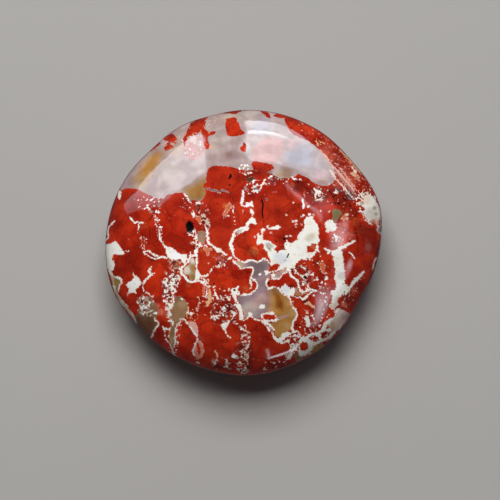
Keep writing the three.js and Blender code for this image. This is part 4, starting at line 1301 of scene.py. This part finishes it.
def ripple(points, normals, height):
    """The slight waviness of a hand polish, which bends the reflections."""
    offsets = np.array([
        noise.noise(Vector(point) * LONG_WAVES) + SHORT_SHARE * noise.noise(Vector(point) * SHORT_WAVES)
        for point in points
    ])
    upward = smoothstep(WAVY_FROM, WAVY_FULL, normals[:, 2])
    return points + normals * (offsets * upward * height)[:, None]


def view_axes():
    """The camera's place and the directions to the picture's right, into it and up."""
    elevation = math.radians(VIEW_ELEVATION)
    right = np.array([1.0, 0.0, 0.0])
    forward = np.array([0.0, math.cos(elevation), -math.sin(elevation)])
    up = np.cross(right, forward)
    aside = (PICTURE_SIDE / 2 - STONE_IN_PICTURE[0]) * PIXEL
    below = (PICTURE_SIDE / 2 - STONE_IN_PICTURE[1]) * PIXEL
    aim = np.array([0, 0, GIRDLE_LEVEL]) + right * aside - up * below
    return aim - forward * VIEW_DISTANCE, right, forward, up


def in_picture(points):
    """The pixels at which the photo's camera sees the points."""
    eye, right, forward, up = view_axes()
    offset = points - eye
    scale = VIEW_DISTANCE / PIXEL / (offset @ forward)
    x = PICTURE_SIDE / 2 + offset @ right * scale
    y = PICTURE_SIDE / 2 - offset @ up * scale
    return x, y


def near_mark(x, y, points, reach=MARK_REACH):
    """Which of the pixels lie within reach of a mark's bounding box."""
    xs, ys = [point[0] for point in points], [point[1] for point in points]
    beside = (x > min(xs) - reach) & (x < max(xs) + reach)
    return np.nonzero(beside & (y > min(ys) - reach) & (y < max(ys) + reach))[0]


def outline_depth(x, y, points):
    """How far inside a closed outline the pixels lie. Outside it is negative."""
    nearest, inside = np.full(x.shape, np.inf), np.zeros(x.shape, bool)
    for (x0, y0), (x1, y1) in zip(points, points[1:] + points[:1]):
        dx, dy = x1 - x0, y1 - y0
        t = np.clip(((x - x0) * dx + (y - y0) * dy) / (dx * dx + dy * dy), 0, 1)
        nearest = np.minimum(nearest, np.hypot(x - x0 - t * dx, y - y0 - t * dy))
        if dy:
            inside ^= ((y0 > y) != (y1 > y)) & (x < x0 + (y - y0) * dx / dy)
    return np.where(inside, nearest, -nearest)


def line_depth(x, y, points):
    """How far inside a line of changing width the pixels lie."""
    deepest = np.full(x.shape, -np.inf)
    for (x0, y0, width0), (x1, y1, width1) in zip(points, points[1:]):
        dx, dy = x1 - x0, y1 - y0
        t = np.clip(((x - x0) * dx + (y - y0) * dy) / (dx * dx + dy * dy), 0, 1)
        width = width0 + (width1 - width0) * t
        deepest = np.maximum(deepest, width / 2 - np.hypot(x - x0 - t * dx, y - y0 - t * dy))
    return deepest


def dot(x, y, width, half_length):
    """A round mark as a very short line."""
    return [(x - half_length, y, width), (x + half_length, y, width)]


def tint_towards(colours, which, weight, tint):
    """Mixes a tint into the colours of some points, by weight."""
    share = weight[:, None]
    colours[which] = colours[which] * (1 - share) + np.array(TINTS[tint]) * share


def add_mark(x, y, depths, colours, tint, points, depth_of):
    """Adds one mark to a layer's depths and colours."""
    which = near_mark(x, y, points)
    depth = depth_of(x[which], y[which], points)
    depths[which] = np.maximum(depths[which], depth)
    tint_towards(colours, which, smoothstep(TINT_START, TINT_FULL, depth), tint)


def add_stains(x, y, colours, stains):
    """Mixes soft round stains into a layer's colours."""
    for stain_x, stain_y, reach, tint, strength in stains:
        which = near_mark(x, y, [(stain_x, stain_y)], reach)
        distance = np.hypot(x[which] - stain_x, y[which] - stain_y)
        tint_towards(colours, which, strength * smoothstep(reach, reach * STAIN_CORE, distance), tint)


def add_zones(x, y, colours, zones):
    """Tints softly bounded parts of a layer."""
    for tint, fade, points in zones.values():
        which = near_mark(x, y, points, fade)
        depth = outline_depth(x[which], y[which], points)
        tint_towards(colours, which, smoothstep(-fade, fade, depth), tint)


def window_layer(x, y):
    """How deep each point lies in the chalcedony windows, and the windows' colours."""
    depths = np.full(x.shape, -float(MARK_REACH))
    colours = np.tile(np.array(TINTS["rose"]), (len(x), 1))
    for tint, points in WINDOWS.values():
        add_mark(x, y, depths, colours, tint, points, outline_depth)
    add_zones(x, y, colours, WINDOW_ZONES)
    add_stains(x, y, colours, WINDOW_STAINS)
    return depths, colours


def cream_layer(x, y):
    """How deep each point lies in the cream, the cream's colours, and where it is crumbled."""
    depths = np.full(x.shape, -float(MARK_REACH))
    crumble = np.zeros(x.shape)
    colours = np.tile(np.array(TINTS["cream"]), (len(x), 1))
    for tint, points in PATCHES.values():
        add_mark(x, y, depths, colours, tint, points, outline_depth)
    for tint, points in VEINS.values():
        add_mark(x, y, depths, colours, tint, points, line_depth)
    for tint, fullness, points in CRUMBLE.values():
        which = near_mark(x, y, points)
        depth = np.minimum(outline_depth(x[which], y[which], points) - CRUMBLE_INSET, fullness)
        alone = depths[which] < CREAM_NEAR
        weight = smoothstep(CRUMBLE_TINT_START, CRUMBLE_TINT_FULL, depth) * alone
        crumbled = smoothstep(-CRUMBLE_FADE, 0, depth - fullness) * alone
        crumble[which] = np.maximum(crumble[which], crumbled)
        depths[which] = np.maximum(depths[which], depth)
        tint_towards(colours, which, weight, tint)
    for tint, flecks in FLECKS.items():
        for fleck_x, fleck_y, width in flecks:
            fleck = dot(fleck_x, fleck_y, width, FLECK_HALF_LENGTH)
            add_mark(x, y, depths, colours, tint, fleck, line_depth)
    add_zones(x, y, colours, CREAM_ZONES)
    add_stains(x, y, colours, CREAM_STAINS)
    return depths, colours, crumble


def dark_layer(x, y):
    """How deep each point lies in the cracks, the holes and the painted shade beside the pit."""
    depths = np.full(x.shape, -float(MARK_REACH))
    holes = [dot(*hole, HOLE_HALF_LENGTH) for hole in HOLES_AND_PIT_SHADE]
    for points in [*CRACKS.values(), *holes]:
        which = near_mark(x, y, points)
        depths[which] = np.maximum(depths[which], line_depth(x[which], y[which], points))
    return depths


def grit_layer(x, y):
    """How gritty the stone is at each point, from 0 to 1."""
    weights = np.zeros(x.shape)
    for points in GRIT.values():
        which = near_mark(x, y, points)
        depth = outline_depth(x[which], y[which], points)
        weights[which] = np.maximum(weights[which], smoothstep(-GRIT_FADE, GRIT_FADE, depth))
    return weights


def store(mesh, name, kind, values):
    """Keeps one value or colour for each point of the mesh."""
    attribute = mesh.attributes.new(name, kind, "POINT")
    if kind == "FLOAT_COLOR":
        solid = np.concatenate([values, np.ones((len(values), 1))], axis=1)
        attribute.data.foreach_set("color", solid.astype(np.float32).ravel())
    else:
        attribute.data.foreach_set("value", values.astype(np.float32))


def point_normals(mesh):
    normals = np.empty(len(mesh.vertices) * 3, np.float32)
    mesh.vertex_normals.foreach_get("vector", normals)
    return normals.reshape(-1, 3).astype(float)


def lay_markings(mesh, points, pit):
    """Works out the markings from the photo's camera and keeps them on the mesh."""
    normals = point_normals(mesh)
    eye, _, _, _ = view_axes()
    sight = eye - points
    sight /= np.linalg.norm(sight, axis=1, keepdims=True)
    shown = smoothstep(HIDDEN_FACING, SHOWN_FACING, (normals * sight).sum(axis=1))
    x, y = in_picture(points)
    x, y = np.where(shown > 0, x, -PICTURE_SIDE), np.where(shown > 0, y, -PICTURE_SIDE)
    window_depths, window_colours = window_layer(x, y)
    cream_depths, cream_colours, crumble = cream_layer(x, y)
    for piece in RED_PIECES.values():
        which = near_mark(x, y, piece)
        depth = outline_depth(x[which], y[which], piece)
        window_depths[which] = np.minimum(window_depths[which], -depth)
        cream_depths[which] = np.minimum(cream_depths[which], -depth)
    body_colours = np.tile(np.array(TINTS["red"]), (len(x), 1))
    add_stains(x, y, body_colours, BODY_STAINS)
    pixels_to_mm = PIXEL / MM
    store(mesh, "window_depth", "FLOAT", window_depths * pixels_to_mm)
    store(mesh, "window_colour", "FLOAT_COLOR", window_colours)
    store(mesh, "cream_depth", "FLOAT", cream_depths * pixels_to_mm)
    store(mesh, "cream_colour", "FLOAT_COLOR", cream_colours)
    store(mesh, "crumble", "FLOAT", crumble)
    store(mesh, "body_colour", "FLOAT_COLOR", body_colours)
    store(mesh, "dark_depth", "FLOAT", dark_layer(x, y) * pixels_to_mm)
    store(mesh, "grit", "FLOAT", grit_layer(x, y))
    store(mesh, "shown", "FLOAT", shown)
    store(mesh, "pit", "FLOAT", pit)


def add_node(tree, kind, inputs=None, **settings):
    """A shader node with its settings. An input takes a value or another node's output."""
    made = tree.nodes.new(kind)
    for name, value in settings.items():
        setattr(made, name, value)
    for name, value in (inputs or {}).items():
        if isinstance(value, bpy.types.NodeSocket):
            tree.links.new(value, made.inputs[name])
        else:
            made.inputs[name].default_value = value
    return made


def stored(tree, name, output="Fac"):
    return add_node(tree, "ShaderNodeAttribute", attribute_name=name).outputs[output]


def reckon(tree, operation, first, second=0.0, third=0.0):
    return add_node(tree, "ShaderNodeMath", {0: first, 1: second, 2: third}, operation=operation).outputs[0]


def blend(tree, share, first, second):
    """The first number where share is 0, and the second where it is 1."""
    return add_node(tree, "ShaderNodeMix", {0: share, 2: first, 3: second}).outputs[0]


def blend_colours(tree, share, first, second, blend_type="MIX"):
    """The first colour where share is 0, and the second where it is 1, or their product."""
    settings = {"data_type": "RGBA", "blend_type": blend_type}
    return add_node(tree, "ShaderNodeMix", {0: share, 6: first, 7: second}, **settings).outputs[2]


def tinted(tree, colour, factor):
    """A colour multiplied by another."""
    return blend_colours(tree, 1.0, colour, factor, "MULTIPLY")


def scaled(tree, value, factor):
    """A value times a number that is the same everywhere."""
    return reckon(tree, "MULTIPLY", value, factor)


def around_zero(tree, share):
    """A share from 0 to 1 as a number from -0.5 to 0.5."""
    return reckon(tree, "SUBTRACT", share, 0.5)


def moved_by(tree, place, shift):
    return add_node(tree, "ShaderNodeVectorMath", {0: place, 1: shift}, operation="ADD").outputs[0]


def channel(tree, colour, index):
    """One channel of a colour, which a cell pattern gives each cell at random."""
    return add_node(tree, "ShaderNodeSeparateColor", {0: colour}).outputs[index]


def ramp(tree, value, low, high):
    """A smooth step of a value, from 0 at low to 1 at high."""
    ends = {"Value": value, "From Min": low, "From Max": high}
    return add_node(tree, "ShaderNodeMapRange", ends, interpolation_type="SMOOTHSTEP").outputs[0]


def cloud(tree, size, detail, seed=0.0, output="Fac"):
    """A soft noise of the stone's own space, whose lumps are about that size."""
    place = add_node(tree, "ShaderNodeTexCoord").outputs["Object"]
    moved = moved_by(tree, place, (seed, seed * 0.7, -seed))
    settings = {"Vector": moved, "Scale": 1 / size, "Detail": detail}
    return add_node(tree, "ShaderNodeTexNoise", settings).outputs[output]


def cells(tree, size, bend, seed, feature="F1"):
    """A cell pattern of the stone's own space, with its walls bent by noise."""
    place = add_node(tree, "ShaderNodeTexCoord").outputs["Object"]
    moved = moved_by(tree, place, (seed, -seed, seed * 0.3))
    wander = moved_by(tree, cloud(tree, size * 0.6, 3.0, seed, "Color"), (-0.5, -0.5, -0.5))
    bent = add_node(tree, "ShaderNodeVectorMath", {0: wander, "Scale": bend}, operation="SCALE")
    settings = {"Vector": moved_by(tree, moved, bent.outputs[0]), "Scale": 1 / size}
    made = add_node(tree, "ShaderNodeTexVoronoi", settings, feature=feature)
    return made.outputs["Color" if feature == "F1" else "Distance"]


def rgba(colour):
    return (*colour, 1.0)


# The body's clasts and, on the hidden side, the cells between the veins: their size, how far their
# walls are bent, and the seed that places them.
CLASTS = (4.5 * MM, 3 * MM, 0.1)
HIDDEN_CELLS = (7 * MM, 6 * MM, 0.05)
SEAM_RED, SPECK_RED, GRAIN_ORANGE = srgb(86, 14, 8), srgb(80, 14, 8), srgb(214, 98, 62)
# The crack brown also paints the shade beside the pit, and the pit black is painted shade in the pit's
# hollow.
GRIT_RED, CRACK_AND_PIT_SHADE_BROWN, PIT_SHADE_BLACK = srgb(150, 45, 25), srgb(44, 12, 10), srgb(14, 6, 6)
# What the red's deep and bright clouds multiply it by, and what the windows' dim and clear ones do.
DEEP_RED, BRIGHT_RED = (0.72, 0.55, 0.6, 1), (1.2, 1.5, 1.5, 1)
DIM_WINDOW, CLEAR_WINDOW = (0.84, 0.79, 0.77, 1), (1.14, 1.14, 1.16, 1)
# How much rougher than the red stone the cream and the grit are.
CREAM_ROUGHER, GRIT_ROUGHER = 0.08, 0.15
# The pit's painted shade deepens between these shares of its depth.
PIT_SHADE_FROM, PIT_SHADE_FULL = 0.15, 0.6
# A layer's edge is blurred over this many millimetres to either side.
EDGE_BLUR = 0.04
# How ragged each layer's edge is by lumps and by grains, in millimetres, and the noise's seed.
LUMP_SIZE, GRAIN_SIZE = 0.9 * MM, 0.3 * MM
WINDOW_RAGGED, CREAM_RAGGED, DARK_RAGGED = (0.5, 0.3, 0.11), (0.3, 0.6, 0.12), (0.1, 0.1, 0.13)
# The hidden side has no cracks or holes, so its depth of them is below zero everywhere.
NO_CRACKS = -0.5
QUARTZ_IOR = 1.54


def body_colour(tree, red):
    """The red jasper: bright and deep clouds, clasts of slightly unlike reds, and fine dark specks."""
    even = tinted(tree, stored(tree, "body_colour", "Color"), red)
    deep = tinted(tree, even, DEEP_RED)
    bright = tinted(tree, even, BRIGHT_RED)
    mixed = blend_colours(tree, ramp(tree, cloud(tree, 3.2 * MM, 3.0), 0.36, 0.66), deep, bright)
    shade = blend(tree, channel(tree, cells(tree, *CLASTS), 0), 0.82, 1.12)
    grey = add_node(tree, "ShaderNodeCombineColor", {0: shade, 1: shade, 2: shade}).outputs[0]
    mixed = tinted(tree, mixed, grey)
    seam = ramp(tree, cells(tree, *CLASTS, "DISTANCE_TO_EDGE"), 0.035, 0.0)
    mixed = blend_colours(tree, scaled(tree, seam, 0.45), mixed, rgba(SEAM_RED))
    grain = ramp(tree, cloud(tree, 0.3 * MM, 2.0, 0.35), 0.62, 0.74)
    mixed = blend_colours(tree, scaled(tree, grain, 0.3), mixed, rgba(GRAIN_ORANGE))
    speck = ramp(tree, cloud(tree, 0.45 * MM, 1.0, 0.2), 0.68, 0.74)
    return blend_colours(tree, scaled(tree, speck, 0.6), mixed, rgba(SPECK_RED))


def hidden_depths(tree):
    """The markings where the photo shows none: veins between bent cells, and some cells of chalcedony."""
    wall = cells(tree, *HIDDEN_CELLS, "DISTANCE_TO_EDGE")
    width = blend(tree, cloud(tree, 6 * MM, 2.0, 0.3), -0.6, 0.85)
    vein = reckon(tree, "SUBTRACT", width, scaled(tree, wall, 7.0))
    chance = channel(tree, cells(tree, *HIDDEN_CELLS), 1)
    window = scaled(tree, reckon(tree, "SUBTRACT", chance, 0.8), 12.0)
    return vein, window


def layer_depth(tree, name, hidden, ragged):
    """A layer's stored depth, or the hidden side's pattern, made ragged by noise."""
    coarse, fine, seed = ragged
    depth = blend(tree, stored(tree, "shown"), hidden, stored(tree, name))
    lumps = around_zero(tree, cloud(tree, LUMP_SIZE, 2.0, seed))
    grains = around_zero(tree, cloud(tree, GRAIN_SIZE, 2.0, seed))
    frayed = reckon(tree, "MULTIPLY_ADD", grains, fine, depth)
    return reckon(tree, "MULTIPLY_ADD", lumps, coarse, frayed)


def covered(tree, depth):
    """Where a layer of that depth shows."""
    return ramp(tree, depth, -EDGE_BLUR, EDGE_BLUR)


def chalcedony_colour(tree):
    """The windows: cloudy and slightly stained chalcedony, and in the cap the painted haze of a reflection.
    """
    base = stored(tree, "window_colour", "Color")
    clouds = ramp(tree, cloud(tree, 2.4 * MM, 4.0, 0.4), 0.35, 0.68)
    dim = tinted(tree, base, DIM_WINDOW)
    return blend_colours(tree, clouds, dim, tinted(tree, base, CLEAR_WINDOW))


def cream_colour(tree, depth):
    """The cream veins: paler in the middle, with a stained edge and peach clouds."""
    base = stored(tree, "cream_colour", "Color")
    clouds = ramp(tree, cloud(tree, 1.6 * MM, 3.0, 0.5), 0.5, 0.72)
    mixed = blend_colours(tree, scaled(tree, clouds, 0.25), base, rgba(TINTS["peach"]))
    grain = ramp(tree, cloud(tree, 0.4 * MM, 2.0, 0.6), 0.58, 0.72)
    mixed = blend_colours(tree, scaled(tree, grain, 0.4), mixed, rgba(TINTS["tan"]))
    edge = scaled(tree, ramp(tree, depth, 0.12, 0.0), 0.45)
    return blend_colours(tree, edge, mixed, rgba(TINTS["pink"]))


def grit_colour(tree):
    """The crumbled zones: white, tan and maroon grains."""
    pick = channel(tree, cells(tree, 0.6 * MM, 0.5 * MM, 0.7), 0)
    mixed = blend_colours(tree, ramp(tree, pick, 0.3, 0.4), rgba(TINTS["maroon"]), rgba(GRIT_RED))
    mixed = blend_colours(tree, ramp(tree, pick, 0.62, 0.7), mixed, rgba(TINTS["rose"]))
    return blend_colours(tree, ramp(tree, pick, 0.84, 0.9), mixed, rgba(TINTS["cream"]))


def bare_material(name):
    """A material whose tree is still empty."""
    material = bpy.data.materials.new(name)
    material.use_nodes = True
    material.node_tree.nodes.clear()
    return material


def polished_jasper(settings):
    """The stone's one polished finish, over its red body, chalcedony windows, cream veins and grit."""
    material = bare_material("polished_jasper")
    tree = material.node_tree
    vein_hidden, window_hidden = hidden_depths(tree)
    window = covered(tree, layer_depth(tree, "window_depth", window_hidden, WINDOW_RAGGED))
    crumbs = around_zero(tree, cloud(tree, 0.5 * MM, 3.0, 0.9))
    crumbs = reckon(tree, "MULTIPLY", crumbs, scaled(tree, stored(tree, "crumble"), 2.0))
    cream_depth = layer_depth(tree, "cream_depth", vein_hidden, CREAM_RAGGED)
    cream_depth = reckon(tree, "ADD", cream_depth, crumbs)
    cream = covered(tree, cream_depth)
    dark = covered(tree, layer_depth(tree, "dark_depth", NO_CRACKS, DARK_RAGGED))
    grit_patch = ramp(tree, cloud(tree, 0.9 * MM, 3.0, 0.14), 0.44, 0.56)
    grit = reckon(tree, "MULTIPLY", stored(tree, "grit"), grit_patch)
    colour = blend_colours(
        tree, window, body_colour(tree, rgba(settings.body_tint)), chalcedony_colour(tree),
    )
    colour = blend_colours(tree, grit, colour, grit_colour(tree))
    colour = blend_colours(tree, cream, colour, cream_colour(tree, cream_depth))
    # Cracks and holes in dark brown, and the painted shade beside the pit.
    colour = blend_colours(tree, dark, colour, rgba(CRACK_AND_PIT_SHADE_BROWN))
    # Painted shade: the pit's hollow turns near black with its depth.
    pit = ramp(tree, stored(tree, "pit"), PIT_SHADE_FROM, PIT_SHADE_FULL)
    colour = blend_colours(tree, pit, colour, rgba(PIT_SHADE_BLACK))
    rough = blend(tree, cream, settings.polish, settings.polish + CREAM_ROUGHER)
    rough = blend(tree, grit, rough, settings.polish + GRIT_ROUGHER)
    bump = add_node(tree, "ShaderNodeBump", {
        "Height": cloud(tree, 0.35 * MM, 2.0, 0.8), "Strength": 0.06, "Distance": 0.05 * MM,
    })
    shader = add_node(tree, "ShaderNodeBsdfPrincipled", {
        "Base Color": colour, "Roughness": rough, "IOR": QUARTZ_IOR, "Normal": bump.outputs[0],
        "Subsurface Weight": scaled(tree, window, 0.35), "Subsurface Radius": (1.0, 0.6, 0.4),
        "Subsurface Scale": 0.6 * MM,
    })
    add_node(tree, "ShaderNodeOutputMaterial", {"Surface": shader.outputs[0]})
    return material


def build_stone(settings):
    """The whole stone as one piece, resting on the origin."""
    points, triangles = skin_mesh()
    pit = sink_pit(points)
    mesh = bpy.data.meshes.new("polished_stone")
    mesh.from_pydata(points.tolist(), [], triangles.tolist())
    points = ripple(points, point_normals(mesh), settings.ripple)
    low, high = points.min(axis=0), points.max(axis=0)
    points -= np.array([(low[0] + high[0]) / 2, (low[1] + high[1]) / 2, low[2]])
    mesh.vertices.foreach_set("co", points.astype(np.float32).ravel())
    mesh.update()
    mesh.shade_smooth()
    lay_markings(mesh, points, pit)
    mesh.materials.append(polished_jasper(settings))
    stone = bpy.data.objects.new("polished_stone", mesh)
    bpy.context.collection.objects.link(stone)
    return stone


# The daylight comes from two panels behind the stone. Their corners are how far across and how far up
# they stand, over their distance, as they face the stone, and how bright they are there.
LIGHT_HEADING = -10
LIGHT_DISTANCE = 0.6
LIGHT_TILT = 10
PANEL_WHITE, ROOM_WHITE = srgb(240, 246, 255), srgb(236, 238, 244)
LEFT_PANEL = [
    (-0.83, 0.29, 0.36), (-0.30, 0.24, 0.45), (-0.10, 0.22, 0.5), (-0.08, 0.42, 0.58),
    (-0.17, 1.25, 0.6), (-0.31, 1.33, 0.5), (-0.51, 1.28, 0.42), (-0.78, 1.30, 0.3),
]
LEFT_PANEL_TAIL = [
    (-1.08, -0.03, 0.2), (-0.83, 0.29, 0.34), (-0.78, 1.30, 0.25), (-1.25, 0.40, 0.1),
]
RIGHT_PANEL = [
    (0.15, 0.07, 0.52), (0.40, 0.09, 0.5), (0.64, 0.26, 0.5), (0.86, 0.40, 0.4), (1.05, 0.43, 0.3),
    (1.13, 0.77, 0.34), (1.15, 1.16, 0.34), (0.89, 1.33, 0.4), (0.65, 1.32, 0.5), (0.43, 1.25, 0.6),
    (0.24, 1.24, 0.65), (0.18, 1.13, 0.65),
]
# The brighter streak across the right panel is a panel of its own, a little before it.
TUBE = [
    (0.17, 0.43, 1.5), (0.32, 0.43, 1.9), (0.56, 0.49, 0.8), (0.56, 0.57, 0.6), (0.32, 0.52, 1.4),
    (0.17, 0.52, 1.2),
]
TUBE_NEARNESS = 0.98

# Fainter glows from all round: brightness in the middle and at the corners, then each corner's heading
# and height in degrees.
ROOM_GLOWS = {
    "low_right_veil": (0.95, 0.1, [
        (98, 46), (100, 30), (112, 25), (130, 20), (132, 28), (117, 43), (107, 49),
    ]),
    "upper_right_veil": (0.95, 0.02, [(64, 55), (72, 37), (88, 37), (88, 53)]),
    "right_streak": (0.7, 0.1, [
        (92, 29.5), (95, 24), (103, 20), (104, 25), (102, 31), (98, 32),
    ]),
    "right_edge": (0.05, 0.01, [(81, 13), (89, 13), (91, -8), (83, -8)]),
    "thin_streak": (0.6, 0.35, [(22, 57.5), (40, 59), (60, 58.5), (60, 56.5), (40, 57), (24, 56)]),
    "faint_veil": (0.16, 0.02, [(31, 57), (50, 58), (64, 56), (62, 46), (39, 44)]),
    "low_streak": (0.85, 0.7, [(161, 9), (144, 7), (144, 1), (161, 3)]),
    "low_streak_upright": (0.6, 0.3, [(159, 28), (160.6, 28), (161, 4), (159, 4)]),
}
# The broad soft light above the stone: its height in degrees, its distance and its width.
KEY_HEIGHT, KEY_DISTANCE, KEY_WIDTH = 66, 0.7, 0.5
FLOOR_HALF_WIDTH = 1.5


def direction(heading, height):
    """The way to a heading from +Y towards +X and a height above the horizon, in degrees."""
    angle, rise = math.radians(heading), math.radians(height)
    return Vector((math.sin(angle) * math.cos(rise), math.cos(angle) * math.cos(rise), math.sin(rise)))


def panel_corner(across, up):
    """A corner of a light panel, in metres."""
    tilt = math.radians(LIGHT_TILT)
    aside = Vector((math.cos(tilt), math.sin(tilt), 0))
    offset = direction(LIGHT_HEADING, 0) + aside * across + Vector((0, 0, up))
    return Vector((0, 0, GIRDLE_LEVEL)) + offset * LIGHT_DISTANCE


def glow(strength):
    """The panels' light, which is as bright as their corners say."""
    material = bare_material("panel_light")
    tree = material.node_tree
    power = scaled(tree, stored(tree, "brightness"), strength)
    shine = add_node(tree, "ShaderNodeEmission", {"Color": rgba(PANEL_WHITE), "Strength": power})
    add_node(tree, "ShaderNodeOutputMaterial", {"Surface": shine.outputs[0]})
    return material


def add_panel(name, corners, faces, brightness, light):
    """A bright panel of which only the reflection in the polish is seen."""
    mesh = bpy.data.meshes.new(name)
    mesh.from_pydata(corners, [], faces)
    store(mesh, "brightness", "FLOAT", np.array(brightness))
    mesh.materials.append(light)
    panel = bpy.data.objects.new(name, mesh)
    panel.visible_camera = False
    panel.visible_diffuse = False
    bpy.context.collection.objects.link(panel)


def light_panel(name, corners, light, nearness=1.0):
    """A flat panel, as bright at each corner as that corner says."""
    places = [panel_corner(across, up) * nearness for across, up, _ in corners]
    brightness = [brightness for _, _, brightness in corners]
    add_panel(name, places, [range(len(corners))], brightness, light)


def room_glow(name, middle, edge, places, light):
    """A faint panel over some directions, which fades from its middle to its corners."""
    girdle = Vector((0, 0, GIRDLE_LEVEL))
    corners = [girdle + direction(heading, height) * LIGHT_DISTANCE for heading, height in places]
    count = len(corners)
    centre = sum(corners, Vector((0, 0, 0))) / count
    faces = [(i, (i + 1) % count, count) for i in range(count)]
    add_panel(name, [*corners, centre], faces, [edge] * count + [middle], light)


def key_light(power):
    """A broad soft light that leaves no reflection on the polish."""
    data = bpy.data.lights.new("key_light", "AREA")
    data.size = KEY_WIDTH
    data.energy = power
    light = bpy.data.objects.new("key_light", data)
    towards = direction(LIGHT_HEADING, KEY_HEIGHT)
    light.location = towards * KEY_DISTANCE
    light.rotation_euler = towards.to_track_quat("Z", "Y").to_euler()
    light.visible_glossy = False
    bpy.context.collection.objects.link(light)


def build_floor(settings):
    reach = FLOOR_HALF_WIDTH
    mesh = bpy.data.meshes.new("floor")
    corners = [(-reach, -reach, 0), (reach, -reach, 0), (reach, reach, 0), (-reach, reach, 0)]
    mesh.from_pydata(corners, [], [(0, 1, 2, 3)])
    material = bpy.data.materials.new("pale_floor")
    material.use_nodes = True
    surface = material.node_tree.nodes["Principled BSDF"]
    surface.inputs["Base Color"].default_value = rgba(settings.floor_colour)
    surface.inputs["Roughness"].default_value = 0.9
    mesh.materials.append(material)
    floor = bpy.data.objects.new("floor", mesh)
    bpy.context.collection.objects.link(floor)
    # The flanks reflect nothing of the pale floor.
    floor.visible_glossy = False


def build_camera():
    eye, _, _, _ = view_axes()
    data = bpy.data.cameras.new("camera")
    data.sensor_width = SENSOR_WIDTH
    data.lens = VIEW_DISTANCE / PIXEL / PICTURE_SIDE * SENSOR_WIDTH
    data.clip_start = 0.01
    camera = bpy.data.objects.new("camera", data)
    bpy.context.collection.objects.link(camera)
    camera.location = eye
    camera.rotation_euler = (math.radians(90 - VIEW_ELEVATION), 0, 0)
    bpy.context.scene.camera = camera


def build_sky(settings):
    world = bpy.data.worlds.new("room")
    bpy.context.scene.world = world
    world.use_nodes = True
    backdrop = world.node_tree.nodes["Background"]
    backdrop.inputs["Color"].default_value = rgba(ROOM_WHITE)
    backdrop.inputs["Strength"].default_value = settings.room_light


class JasperStoneSettings(bpy.types.PropertyGroup):
    body_tint: FloatVectorProperty(
        name="Body tint", description="Multiplies the red jasper's own colour",
        subtype="COLOR", size=3, min=0, max=1, default=(1.0, 1.0, 1.0),
    )
    polish: FloatProperty(
        name="Polish", description="Roughness of the polished red stone",
        subtype="FACTOR", min=0.0, max=1.0, default=0.07,
    )
    ripple: FloatProperty(
        name="Ripple", description="Height of the polish's slight waviness",
        unit="LENGTH", min=0.0, max=0.2 * MM, default=0.03 * MM, precision=6,
    )


class JasperStageSettings(bpy.types.PropertyGroup):
    floor_colour: FloatVectorProperty(
        name="Floor colour", description="Colour of the plain floor",
        subtype="COLOR", size=3, min=0, max=1, default=(0.4, 0.385, 0.37),
    )
    panel_light: FloatProperty(
        name="Panel light", description="Brightness of the two light panels",
        min=0.0, max=100.0, default=9.0,
    )
    key_light: FloatProperty(
        name="Key light", description="Power of the broad soft light above the stone",
        min=0.0, max=50.0, default=5.6,
    )
    room_light: FloatProperty(
        name="Room light", description="Brightness of the room all round",
        min=0.0, max=10.0, default=0.06,
    )


class OBJECT_OT_jasper_stone(bpy.types.Operator):
    """Builds the polished stone with its markings"""
    bl_idname = "object.jasper_stone"
    bl_label = "Jasper stone"

    def execute(self, context):
        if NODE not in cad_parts:
            raise RuntimeError("The frame has no stone to stand for")
        stone = build_stone(context.scene.jasper_stone)
        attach(stone, "root")
        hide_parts(NODE)
        return {"FINISHED"}


class OBJECT_OT_jasper_stage(bpy.types.Operator):
    """Builds the floor, the light and the camera"""
    bl_idname = "object.jasper_stage"
    bl_label = "Stage"

    def execute(self, context):
        settings = context.scene.jasper_stage
        build_floor(settings)
        build_sky(settings)
        light = glow(settings.panel_light)
        light_panel("left_panel", LEFT_PANEL, light)
        light_panel("left_panel_tail", LEFT_PANEL_TAIL, light)
        light_panel("right_panel", RIGHT_PANEL, light)
        light_panel("tube", TUBE, light, TUBE_NEARNESS)
        for name, (middle, edge, places) in ROOM_GLOWS.items():
            room_glow(name, middle, edge, places, light)
        key_light(settings.key_light)
        build_camera()
        context.scene.view_settings.view_transform = "Standard"
        if context.scene.camera is None:
            raise RuntimeError("The stage has no camera")
        return {"FINISHED"}


class VIEW3D_PT_jasper_stone(bpy.types.Panel):
    """Shows the buttons and settings of this add-on"""
    bl_idname = "VIEW3D_PT_jasper_stone"
    bl_label = "Jasper stone"
    bl_space_type = "VIEW_3D"
    bl_region_type = "UI"
    bl_category = "Jasper stone"

    def draw(self, context):
        layout = self.layout
        stone, stage = context.scene.jasper_stone, context.scene.jasper_stage
        layout.operator("object.jasper_stone")
        for name in ("body_tint", "polish", "ripple"):
            layout.prop(stone, name)
        layout.operator("object.jasper_stage")
        for name in ("floor_colour", "panel_light", "key_light", "room_light"):
            layout.prop(stage, name)


CLASSES = (
    JasperStoneSettings, JasperStageSettings, OBJECT_OT_jasper_stone, OBJECT_OT_jasper_stage,
    VIEW3D_PT_jasper_stone,
)


def register():
    for made in CLASSES:
        bpy.utils.register_class(made)
    bpy.types.Scene.jasper_stone = PointerProperty(type=JasperStoneSettings)
    bpy.types.Scene.jasper_stage = PointerProperty(type=JasperStageSettings)


def unregister():
    del bpy.types.Scene.jasper_stage
    del bpy.types.Scene.jasper_stone
    for made in reversed(CLASSES):
        bpy.utils.unregister_class(made)


def main():
    register()
    bpy.ops.object.jasper_stone()
    bpy.ops.object.jasper_stage()


if __name__ == "__main__":
    main()
